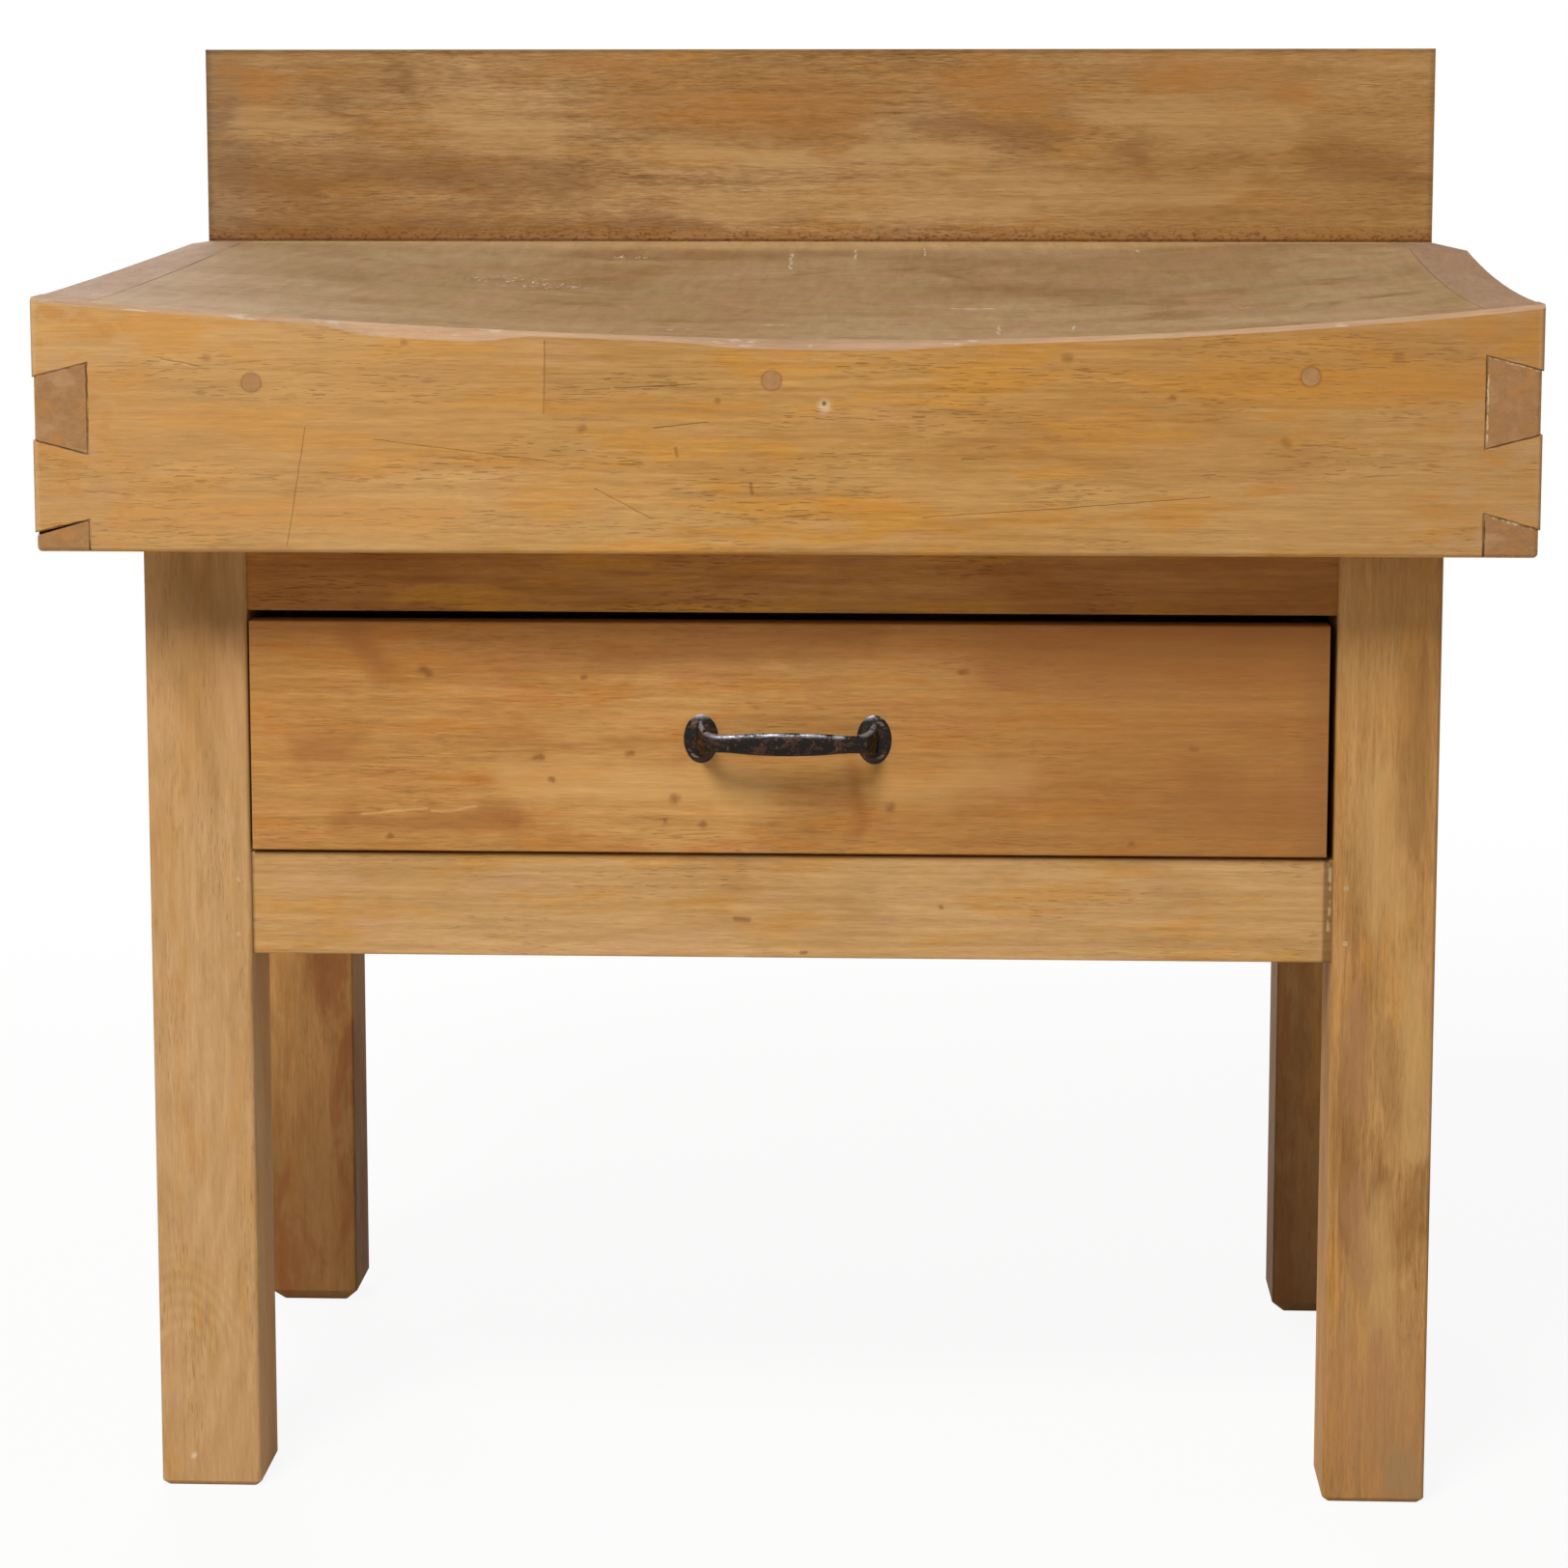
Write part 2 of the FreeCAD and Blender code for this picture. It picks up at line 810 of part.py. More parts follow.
front_inside = f"{leg_front} + Sizes.drawer_front_thickness"
side_near = f"{leg_front} + Sizes.drawer_lap"
side_far = f"{leg_front} + Sizes.drawer_depth"
side_length = "Sizes.drawer_depth - Sizes.drawer_lap"


def tailed_edge(end, root, downwards):
    """One end of a drawer side, as points from bottom to top, or from top to bottom."""
    pitch = "Sizes.drawer_side_height / Sizes.drawer_tails"
    root_half = f"{pitch} * Sizes.drawer_tail_share / 2"
    end_half = f"({root_half} + Sizes.drawer_tail_flare)"
    points = [(root, "0")]
    for n in range(int(value("Sizes.drawer_tails"))):
        middle = f"({n} + 0.5) * {pitch}"
        points += [
            (root, f"{middle} - {root_half}"),
            (end, f"{middle} - {end_half}"),
            (end, f"{middle} + {end_half}"),
            (root, f"{middle} + {root_half}"),
        ]
    points.append((root, "Sizes.drawer_side_height"))
    return points[::-1] if downwards else points


def drawer_side(name, left):
    """A drawer side with tails at both ends, padded across its thickness."""
    body = doc.addObject("PartDesign::Body", name)
    far_root = f"{side_length} - Sizes.drawer_board"
    near_root = "Sizes.drawer_front_thickness - Sizes.drawer_lap"
    points = tailed_edge(side_length, far_root, False) + tailed_edge("0", near_root, True)
    pad(body, outline(body, "YZ_Plane", points), "Sizes.drawer_board")
    return place(body, (left, side_near, drawer_floor))


drawer_sides = {
    "left": drawer_side("left_tailed_side", drawer_left),
    "right": drawer_side(
        "right_tailed_side", f"{drawer_left} + Sizes.drawer_width - Sizes.drawer_board"
    ),
}
inset = "Sizes.drawer_board - Sizes.drawer_groove"
drawer_bottom = board(
    "bottom_panel",
    (
        f"Sizes.drawer_width - 2 * ({inset})",
        f"({side_far}) - ({front_inside}) + Sizes.drawer_groove",
        "Sizes.drawer_bottom_thickness",
    ),
    (
        f"{drawer_left} + {inset}",
        f"{front_inside} - Sizes.drawer_groove",
        f"{drawer_floor} + Sizes.drawer_bottom_rise",
    ),
)
drawer_bottom.Label = "drawer_bottom"
for side, tailed in drawer_sides.items():
    cut(f"drawer_side_{side}", tailed, [drawer_bottom])

panel_top = f"{drawer_floor} + Sizes.drawer_bottom_rise + Sizes.drawer_bottom_thickness"
back_blank = board(
    "back_blank",
    (
        "Sizes.drawer_width",
        "Sizes.drawer_board",
        f"{drawer_floor} + Sizes.drawer_side_height - ({panel_top})",
    ),
    (drawer_left, f"{side_far} - Sizes.drawer_board", panel_top),
)
cut("drawer_back", back_blank, list(drawer_sides.values()))

# ---- The iron handle ----

handle_middle = "Sizes.base_offset - Sizes.drawer_offset + Sizes.handle_offset"
rosette_spots = {
    "left": f"{handle_middle} - Sizes.handle_pitch / 2",
    "right": f"{handle_middle} + Sizes.handle_pitch / 2",
}


def rosette(name, x):
    """A domed oval plate, as the part of an ellipsoid that stands proud of the drawer."""
    swell = "sqrt(1 - (Sizes.rosette_sink / Sizes.rosette_dome)^2)"
    dome = doc.addObject("Part::Ellipsoid", name + "_dome")
    bind(dome, "Radius1", f"Sizes.rosette_height / 2 / {swell}")
    bind(dome, "Radius2", f"Sizes.rosette_width / 2 / {swell}")
    bind(dome, "Radius3", "Sizes.rosette_dome")
    place(dome, (x, f"{leg_front} + Sizes.rosette_sink", "Sizes.handle_height"))
    wood_behind = box(
        name + "_behind",
        ("Sizes.rosette_width * 2", "Sizes.rosette_dome * 2", "Sizes.rosette_height * 2"),
        (
            f"{x} - Sizes.rosette_width",
            leg_front,
            "Sizes.handle_height - Sizes.rosette_height",
        ),
    )
    return cut(name, dome, [wood_behind])


def bow_stations():
    """Centre, direction, height and thickness of the bow's sections, from its left root to its right."""
    half = value("Sizes.handle_pitch / 2")
    corner = value("Sizes.bow_corner")
    reach = value("Sizes.bow_projection - Sizes.bow_thickness / 2")
    spring = value("Sizes.bow_spring")
    root, neck, belly = (
        value(f"Sizes.bow_{part}_height") for part in ("root", "neck", "belly")
    )
    turn = []
    for angle in stations(0, math.pi / 2, 6):
        x = -half + corner * (1 - math.cos(angle))
        y = -(reach - spring) * math.sin(angle)
        flare = (1 - math.sin(angle)) ** value("Sizes.bow_flare")
        turn.append((x, y, neck + (root - neck) * flare, math.pi / 2 - angle))
    bar = []
    for x in stations(-half + corner, 0, 4)[1:]:
        share = 1 + x / (half - corner)
        swell = math.sin(share * math.pi / 2)
        y = -(reach - spring) - spring * swell
        slope = spring * math.cos(share * math.pi / 2) * math.pi / 2 / (half - corner)
        bar.append((x, y, neck + (belly - neck) * swell, math.atan(slope)))
    left = turn + bar
    right = [(-x, y, height, -lean) for x, y, height, lean in reversed(left[:-1])]
    return left + right


def bow():
    """The bow as a smooth loft through upright ovals."""
    sections = []
    for x, y, height, lean in bow_stations():
        along = FreeCAD.Vector(math.cos(lean), -math.sin(lean), 0)
        up = FreeCAD.Vector(0, 0, 1)
        oval = Part.Ellipse(FreeCAD.Vector(), height / 2, value("Sizes.bow_thickness / 2"))
        wire = Part.Wire(oval.toShape())
        wire.Placement = FreeCAD.Placement(
            FreeCAD.Vector(value(handle_middle) + x, value(leg_front) + y, value("Sizes.handle_height")),
            FreeCAD.Rotation(up, along.cross(up), along, "ZXY"),
        )
        sections.append(wire)
    return Part.makeLoft(sections, True, False)


handle_bow = doc.addObject("Part::Feature", "handle_bow")
handle_bow.Shape = bow()
handle_blank = fused(
    "handle_blank",
    [handle_bow] + [rosette(f"rosette_{side}", x) for side, x in rosette_spots.items()],
)
handle_screws = group(
    "handle_screws",
    [
        wood_screw(
            f"handle_screw_{side}_{level}",
            "Sizes.handle_screw_length",
            (
                f"{rosette_spots[side]} {outwards} Sizes.handle_screw_outset",
                f"{leg_front} - Sizes.rosette_dome + Sizes.rosette_sink + 1.6",
                f"Sizes.handle_height {upwards} Sizes.handle_screw_pitch / 2",
            ),
            (0, 1, 0),
        )
        for side, outwards in (("left", "-"), ("right", "+"))
        for level, upwards in (("upper", "+"), ("lower", "-"))
    ],
)
cut("drawer_handle", handle_blank, [handle_screws])

front_blank = board(
    "drawer_front_blank",
    ("Sizes.drawer_width", "Sizes.drawer_front_thickness", "Sizes.drawer_height"),
    (drawer_left, leg_front, drawer_floor),
)
ease(
    front_blank,
    "Fillet",
    "Sizes.rail_round",
    lambda edge: runs_along("x")(edge) and edge.BoundBox.YMax < 1,
)
cut(
    "drawer_front",
    front_blank,
    list(drawer_sides.values()) + [drawer_bottom, handle_screws],
)

# ---- Check everything, then write one file for each node ----

nodes = [
    "block_front_board",
    "block_rear_board",
    "block_left_board",
    "block_right_board",
    *[f"core_stave_{n + 1}" for n in range(int(value("Sizes.stave_count")))],
    "front_pegs",
    "rear_pegs",
    "locating_dowels",
    "splashback",
    "splashback_screws",
    *[f"leg_{row}_{side}" for row in ("front", "rear") for side in ("left", "right")],
    "front_upper_rail",
    "front_lower_rail",
    "rail_pins",
    "left_side_apron",
    "right_side_apron",
    "rear_apron",
    *[f"drawer_{part}_{side}" for part in ("runner", "guide", "kicker") for side in ("left", "right")],
    "drawer_stops",
    "drawer_front",
    "drawer_side_left",
    "drawer_side_right",
    "drawer_back",
    "drawer_bottom",
    "drawer_handle",
    "handle_screws",
]

doc.recompute()
for item in doc.Objects:
    if "Invalid" in item.State or "Error" in item.State:
        raise RuntimeError(f"{item.Label} failed to build: {item.State}")

os.makedirs("parts", exist_ok=True)
for node in nodes:
    found = doc.getObjectsByLabel(node)
    if len(found) != 1 or found[0].Shape.isNull() or not found[0].Shape.isValid():
        raise RuntimeError(f"{node} has no valid shape of its own")
    shape = found[0].Shape
    print(f"{node}: {len(shape.Solids)} solid(s), {shape.Volume / 1000:.1f} cm3")
    shape.exportStep(f"parts/{node}.step")

whole = Part.makeCompound([doc.getObjectsByLabel(node)[0].Shape for node in nodes])
print("box:", whole.BoundBox)
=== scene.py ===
import bpy
import math
import random
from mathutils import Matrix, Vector


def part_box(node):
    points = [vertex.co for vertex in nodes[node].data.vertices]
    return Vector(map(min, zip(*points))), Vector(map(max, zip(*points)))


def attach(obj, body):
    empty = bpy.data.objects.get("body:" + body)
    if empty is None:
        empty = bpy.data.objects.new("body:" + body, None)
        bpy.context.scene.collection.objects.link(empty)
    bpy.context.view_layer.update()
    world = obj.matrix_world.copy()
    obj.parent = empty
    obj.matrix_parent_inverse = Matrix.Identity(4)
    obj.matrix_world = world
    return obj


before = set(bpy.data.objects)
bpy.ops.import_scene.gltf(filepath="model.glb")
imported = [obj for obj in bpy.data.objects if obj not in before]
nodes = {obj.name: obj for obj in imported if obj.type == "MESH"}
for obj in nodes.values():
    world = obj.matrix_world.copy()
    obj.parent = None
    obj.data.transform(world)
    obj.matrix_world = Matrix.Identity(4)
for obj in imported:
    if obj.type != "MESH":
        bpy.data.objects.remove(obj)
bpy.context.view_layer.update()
scene = bpy.context.scene
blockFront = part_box("block_front_board")[0].y
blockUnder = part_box("core_stave_8")[0].z
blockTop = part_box("core_stave_8")[1].z
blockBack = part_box("block_rear_board")[1].y
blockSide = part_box("block_front_board")[1].x
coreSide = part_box("core_stave_8")[1].x
staveFront, staveBack = [corner.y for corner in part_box("core_stave_1")]


def tone(red, green, blue):
    return (*[(c / 255) ** 2.2 for c in (red, green, blue)], 1)


# a socket of a shader node, so that shader maths can be written as plain sums
class Wire:
    def __init__(self, owner, socket):
        self.owner = owner
        self.socket = socket

    def maths(self, operation, *values):
        return self.owner.node("ShaderNodeMath", {"operation": operation}, dict(enumerate(values)))

    def __add__(self, other):
        return self.maths("ADD", self, other)

    def __radd__(self, other):
        return self.maths("ADD", other, self)

    def __sub__(self, other):
        return self.maths("SUBTRACT", self, other)

    def __rsub__(self, other):
        return self.maths("SUBTRACT", other, self)

    def __mul__(self, other):
        return self.maths("MULTIPLY", self, other)

    def __truediv__(self, other):
        return self.maths("DIVIDE", self, other)

    def __pow__(self, other):
        return self.maths("POWER", self, other)

    def __abs__(self):
        return self.maths("ABSOLUTE", self)

    def floor(self):
        return self.maths("FLOOR", self)

    def sine(self):
        return self.maths("SINE", self)

    def above(self, other):
        return self.maths("MAXIMUM", self, other)

    def below(self, other):
        return self.maths("MINIMUM", self, other)

    # 0 at the first value and 1 at the second, smooth between them
    def between(self, first, second):
        settings = {"interpolation_type": "SMOOTHSTEP"}
        return self.owner.node("ShaderNodeMapRange", settings, {0: self, 1: first, 2: second})

    # noise, which lies about a half, as a change either way
    def swing(self, amount):
        return (self - 0.5) * amount


# the node tree of a material or a world
class Tree:
    def __init__(self, tree):
        self.tree = tree

    def node(self, kind, settings, inputs, output=0):
        made = self.tree.nodes.new(kind)
        for key, value in settings.items():
            setattr(made, key, value)
        for key, value in inputs.items():
            self.feed(made.inputs[key], value)
        return Wire(self, made.outputs[output])

    def feed(self, socket, value):
        if isinstance(value, Wire):
            self.tree.links.new(value.socket, socket)
        else:
            socket.default_value = value

    # 1 for what is seen straight, in gloss or through glass, and 0 for the light it gives
    def seen(self):
        rays = self.node("ShaderNodeLightPath", {}, {}).socket.node.outputs
        kinds = ("Camera", "Glossy", "Transmission")
        camera, glossy, clear = [Wire(self, rays[f"Is {kind} Ray"]) for kind in kinds]
        return camera.above(glossy).above(clear)


shortestStroke = 1e-6  # for a dot, which starts and ends in one place
grainShares = (0.88, 1.04, 1.3)  # how far a change of grain moves red, green and blue


class Shader(Tree):
    def __init__(self, name):
        self.material = bpy.data.materials.new(name)
        self.material.use_nodes = True
        super().__init__(self.material.node_tree)
        self.surface = self.tree.nodes["Principled BSDF"]
        self.place = self.node("ShaderNodeTexCoord", {}, {}, "Object")
        self.x, self.y, self.z = self.parts(self.place)
        self.facing = self.parts(self.node("ShaderNodeTexCoord", {}, {}, "Normal"))

    def parts(self, vector):
        split = self.node("ShaderNodeSeparateXYZ", {}, {0: vector})
        return [Wire(self, output) for output in split.socket.node.outputs]

    def vector(self, x, y, z=0):
        return self.node("ShaderNodeCombineXYZ", {}, {0: x, 1: y, 2: z})

    def stretched(self, scale, shift=(0, 0, 0)):
        inputs = {"Vector": self.place, "Scale": scale, "Location": shift}
        return self.node("ShaderNodeMapping", {}, inputs)

    def noise(self, vector, detail=2, roughness=0.5, distortion=0):
        inputs = {
            "Vector": vector, "Scale": 1, "Detail": detail,
            "Roughness": roughness, "Distortion": distortion,
        }
        return self.node("ShaderNodeTexNoise", {}, inputs)

    def mix(self, share, first, second):
        return self.node("ShaderNodeMix", {"data_type": "RGBA"}, {0: share, 6: first, 7: second}, 2)

    def shaded(self, colour, factor):
        colour = colour if isinstance(colour, Wire) else colour[:3]
        return self.node("ShaderNodeVectorMath", {"operation": "SCALE"}, {0: colour, "Scale": factor})

    # lighter or darker grain: the dark lines in wood are also a little redder
    def grained(self, colour, change):
        factors = self.vector(*[1 + change * share for share in grainShares])
        return self.node("ShaderNodeVectorMath", {"operation": "MULTIPLY"}, {0: colour, 1: factors})

    def bump(self, height, depth):
        return self.node("ShaderNodeBump", {}, {"Height": height, "Distance": depth})

    # 1 on a line between two points of a plane, fading to 0 at its sides
    def stroke(self, plane, start, end, width, soft=0.5):
        start, end = Vector((*start, 0)), Vector((*end, 0))
        run = end - start
        if run.length < shortestStroke:
            run = Vector((shortestStroke, 0, 0))
        offset = self.node("ShaderNodeVectorMath", {"operation": "SUBTRACT"}, {0: plane, 1: start})
        settings = {"operation": "DOT_PRODUCT"}
        share = self.node("ShaderNodeVectorMath", settings, {0: offset, 1: run / run.length_squared}, 1)
        near = self.shaded(tuple(run), share.above(0).below(1))
        gap = self.node("ShaderNodeVectorMath", {"operation": "DISTANCE"}, {0: offset, 1: near}, 1)
        return gap.between(width * (0.5 + soft), width * max(0.5 - soft, 0.001))

    def strokes(self, plane, marks, soft=0.5):
        total = None
        for start, end, width in marks:
            mark = self.stroke(plane, start, end, width, soft)
            total = mark if total is None else total.above(mark)
        return total

    # a plane whose places wander a little, so that marks on it get ragged sides
    def ragged(self, across, up, amount, scale):
        first = self.noise(self.stretched([scale] * 3, (5, 1, 2)))
        second = self.noise(self.stretched([scale] * 3, (1, 7, 4)))
        return self.vector(across + first.swing(amount), up + second.swing(amount))

    def finish(self, values):
        for key, value in values.items():
            self.feed(self.surface.inputs[key], value)
        return self.material


# solid wood: tones, how much of each shows, and its grain
honeyWood = {
    "pale": (190, 148, 93),
    "middle": (178, 133, 76),
    "deep": (162, 114, 59),
    "amber": (188, 128, 47),
    "rosy": (180, 132, 85),
    "grey": (166, 129, 82),
    "dash": (104, 68, 36),
    "endGrain": (155, 114, 75),
    "amberShare": 0.6,
    "rosyShare": 0.5,
    "greyShare": 0.4,
    "dashShare": 0.55,
    "deepShare": 0.7,
    "streakShare": 0.44,
    "fibreShare": 0.34,
    "fibreAlong": 65,  # how short the fibres are: higher is shorter
    "ringShare": 0.02,
    "ringSpacing": 0.013,
    "ringWander": 0.06,
    "heart": (0.13, -0.3),  # where the rings are centred, across the grain
    "lean": 0,  # how fast that centre moves sideways along the grain
    "roughness": 0.76,
    "specular": 0.12,
    "relief": 0.0004,
}
# scale along the grain and across it, the layer's own place, detail, roughness and distortion
woodNoise = {
    "broad": (1.7, 6, 0, 2, 0.5, 0.3),
    "cloud": (5, 17, 3, 4, 0.6, 0.5),
    "patch": (8, 42, 7, 5, 0.64, 0.3),
    "rosy": (13, 50, 8, 4, 0.6, 0.4),
    "streak": (9, 230, 1, 4, 0.6, 0),
    "groups": (7, 34, 9, 2, 0.5, 0),
    "pores": (60, 1300, 4, 2, 0.6, 0),
    "mottle": (30, 170, 10, 4, 0.66, 0),
    "wander": (1.8, 9, 6, 2, 0.5, 0),
}
# the same for noise as long as the fibres: the first value multiplies their scale
fibreNoise = {
    "fibre": (1, 640, 5, 3, 0.68, 0),
    "dashes": (1.15, 1000, 2, 1, 0.5, 0),
}
# each tint with its noise, and the levels where it starts and where it is full
woodTints = [
    ("deep", "cloud", 0.47, 0.72),
    ("rosy", "rosy", 0.5, 0.68),
    ("grey", "rosy", 0.46, 0.3),
    ("amber", "patch", 0.49, 0.63),
]
endGrainShares = {"pores": 0.35, "cloud": 0.35, "mottle": 0.45}  # how far noise shades end grain
endGrainRings = 0.02  # and how far the rings do
woodGloss = {"cloud": 0.16, "dashes": 0.1}  # how far noise moves the roughness
woodRelief = {"fibre": 0.5, "streak": 0.9, "dashes": 0.8}  # and how far it raises the surface
layerStep = 11.3  # how far apart the layers of noise are taken


# the grain runs along one axis and shows as end grain on the faces across it
class Wood(Shader):
    def __init__(self, name, grain, seed, **changes):
        super().__init__(name)
        self.recipe = {**honeyWood, **changes}
        recipe = self.recipe
        self.axis = "XYZ".index(grain)
        pick = random.Random(seed)
        self.shift = [pick.uniform(-40, 40) for _ in range(3)]
        layers = {key: self.layered(*values) for key, values in woodNoise.items()}
        for key, (along, *values) in fibreNoise.items():
            layers[key] = self.layered(along * recipe["fibreAlong"], *values)
        self.cloud, self.streak, self.fibre = layers["cloud"], layers["streak"], layers["fibre"]

        body = self.mix(layers["broad"].between(0.36, 0.66), tone(*recipe["middle"]), tone(*recipe["pale"]))
        for tint, key, start, full in woodTints:
            share = layers[key].between(start, full) * recipe[tint + "Share"]
            body = self.mix(share, body, tone(*recipe[tint]))
        rings = self.growthRings(layers["wander"])
        change = self.streak.swing(recipe["streakShare"] * 2) + self.fibre.swing(recipe["fibreShare"] * 2)
        body = self.grained(body, change + rings * recipe["ringShare"])
        dark = layers["dashes"].between(0.62, 0.67) * layers["groups"].between(0.44, 0.62)
        dark = dark * recipe["dashShare"]
        body = self.mix(dark, body, tone(*recipe["dash"]))

        grain = 1 + rings * endGrainRings
        for key, share in endGrainShares.items():
            grain = grain + layers[key].swing(share)
        ends = self.shaded(tone(*recipe["endGrain"]), grain)
        across = abs(self.facing[self.axis]).between(0.72, 0.9)
        self.colour = self.mix(across, body, ends)
        self.gloss = recipe["roughness"] + self.cloud.swing(woodGloss["cloud"]) + dark * woodGloss["dashes"]
        relief = self.fibre.swing(woodRelief["fibre"]) + self.streak.swing(woodRelief["streak"])
        self.relief = relief - dark * woodRelief["dashes"]

    # the place on the board, with one scale along the grain and another across it
    def lengthwise(self, along, across, layer):
        scale = [across] * 3
        scale[self.axis] = along
        return self.stretched(scale, [s + layer * layerStep for s in self.shift])

    def layered(self, along, across, layer, *quality):
        return self.noise(self.lengthwise(along, across, layer), *quality)

    def growthRings(self, wander):
        recipe = self.recipe
        places = (self.x, self.y, self.z)
        level = [place for i, place in enumerate(places) if i != self.axis]
        wide, high = level[0] - recipe["heart"][0], level[1] - recipe["heart"][1]
        if recipe["lean"]:
            high = high + places[self.axis] * recipe["lean"]
        radius = (wide * wide + high * high) ** 0.5 + wander.swing(recipe["ringWander"])
        return (radius * (2 * math.pi / recipe["ringSpacing"])).sine()

    # 1 on the faces that look forwards
    def toFront(self):
        return self.facing[1].between(-0.6, -0.8)

    def tint(self, share, colour):
        self.colour = self.mix(share, self.colour, tone(*colour))

    # a tint that grows between the two places of its span
    def fade(self, kind, place, where=1):
        self.tint(place.between(*kind["span"]) * where * kind["share"], kind["colour"])

    def darken(self, share, depth):
        self.colour = self.shaded(self.colour, 1 - share * depth)

    # marks of one kind, drawn on a plane
    def mark(self, plane, kind, where, soft=0.5):
        self.tint(self.strokes(plane, kind["marks"], soft) * where * kind["share"], kind["colour"])

    def done(self):
        return self.finish({
            "Base Color": self.colour,
            "Roughness": self.gloss,
            "Normal": self.bump(self.relief, self.recipe["relief"]),
            "Specular IOR Level": self.recipe["specular"],
        })


# the worn top of the block is one surface over all the boards that meet there
wornTop = {
    "plain": (147, 115, 78),
    "pale": (157, 128, 92),
    "brown": (128, 93, 56),
    "rosy": (155, 117, 88),
    "green": (139, 115, 75),
    "rearBand": (182, 147, 102),
    "sideStrip": (149, 117, 95),
    "arris": (172, 140, 113),
    "chip": (186, 172, 156),
    "scratch": (206, 190, 168),
    # painted light: the top lighter and greyer towards the left
    "paintedLeftLight": (158, 134, 104),
    "seam": (112, 84, 56),
    "eased": (112, 82, 54),
    "rearBandWidth": 0.05,
    "seamWidth": 0.0012,
    "depth": (0.07, 0.065),  # how far down the worn surface reaches
    "easedShare": 0.6,
    "arrisShare": 0.85,
    "arrisAtFront": (0.018, 0.012),  # distances from the block's faces
    "arrisAtSides": (0.006, 0.003),
    "chipShare": 0.7,
    "scratchShare": 0.75,
    "knifeDepth": 1.5,
    "duller": 0.03,  # how much rougher the scraped wood is
    # start, end and width of the larger knife marks, in metres on the top
    "knifeMarks": [
        ((-0.018, 0.25), (-0.016, 0.165), 0.0022),
        ((0.036, 0.28), (0.037, 0.22), 0.0018),
        ((0.094, 0.28), (0.096, 0.24), 0.0014),
        ((0.276, 0.265), (0.276, 0.25), 0.0022),
        ((0.118, -0.08), (0.15, -0.084), 0.004),
        ((0.154, -0.22), (0.153, -0.3), 0.0018),
        ((0.208, -0.238), (0.207, -0.284), 0.0018),
        ((-0.084, -0.275), (-0.066, -0.262), 0.0045),
        ((-0.018, -0.214), (-0.004, -0.208), 0.0045),
        ((-0.334, -0.245), (-0.33, -0.243), 0.003),
        ((0.337, -0.154), (0.34, -0.152), 0.003),
        ((0.318, -0.236), (0.32, -0.234), 0.0025),
    ],
    "crumbs": [((-0.245, 0.06), (-0.203, 0.03), 0.05), ((-0.16, 0.226), (-0.15, 0.226), 0.02)],
    "blotches": [
        ((-0.1, 0.24), (0.02, 0.25), 0.05),
        ((-0.13, 0.16), (-0.15, 0.02), 0.03),
        ((0.08, 0.22), (0.2, 0.18), 0.07),
        ((0.12, 0.06), (0.26, 0), 0.05),
        ((-0.4, 0.1), (-0.36, -0.02), 0.05),
    ],
}


# the colour of the scraped top, before its knife marks
def wornColour(wood, spots):
    worn = wornTop
    clouds = wood.noise(wood.stretched((9, 10, 1), (3, 8, 0)), 5, 0.62, 0.6)
    hues = wood.noise(wood.stretched((15, 15, 1), (7, 2, 0)), 4, 0.62, 0.3)
    soft = wood.ragged(wood.x, wood.y, 0.05, 14)
    width, seam = worn["rearBandWidth"], worn["seamWidth"]
    atRear = wood.y.between(blockBack - width * 1.5, blockBack - width * 0.7)
    beyond = abs(wood.x) - coreSide
    colour = wood.mix(spots.between(0.4, 0.62), tone(*worn["plain"]), tone(*worn["pale"]))
    for tint, share in (
        ("brown", clouds.between(0.5, 0.68) * 0.75),
        ("rosy", hues.between(0.5, 0.66) * 0.7),
        ("green", hues.between(0.48, 0.32) * 0.65),
        ("brown", wood.strokes(soft, worn["blotches"]) * 0.5),
        ("rearBand", atRear * 0.75),
        # painted light towards the left of the top
        ("paintedLeftLight", wood.x.between(-0.1, -0.45) * 0.4),
        ("sideStrip", beyond.between(-0.0005, 0.0005) * 0.65),
        ("seam", beyond.between(-seam, 0) * beyond.between(seam, 0) * 0.45),
    ):
        colour = wood.mix(share, colour, tone(*worn[tint]))

    # each stave is a slightly different piece of wood
    count = ((wood.y - staveFront) / (staveBack - staveFront)).floor()
    own = wood.node("ShaderNodeTexWhiteNoise", {"noise_dimensions": "1D"}, {"W": count})
    scraped = wood.noise(wood.stretched((90, 16, 1), (1, 6, 0)), 4, 0.65, 0.4)
    change = wood.streak.swing(0.24) + wood.fibre.swing(0.55) + own.swing(0.07)
    return wood.grained(colour, change + scraped.swing(0.6))


# knife marks, crumbled places and hair-thin cuts
def knifeMarks(wood, spots):
    flat = wood.ragged(wood.x, wood.y, 0.005, 55)
    chalk = wood.noise(wood.stretched((170, 110, 1)), 2, 0.6)
    marks = wood.strokes(flat, wornTop["knifeMarks"]) * chalk.between(0.4, 0.56)
    crumbs = wood.noise(wood.stretched((190, 70, 1)), 3, 0.6, 0.8).between(0.56, 0.63)
    marks = marks.above(crumbs * wood.strokes(flat, wornTop["crumbs"]))
    hairs = wood.noise(wood.stretched((24, 420, 1), (5, 2, 0)), 2, 0.5, 1.5)
    return marks.above(hairs.between(0.69, 0.74) * spots.between(0.4, 0.6) * 0.25)


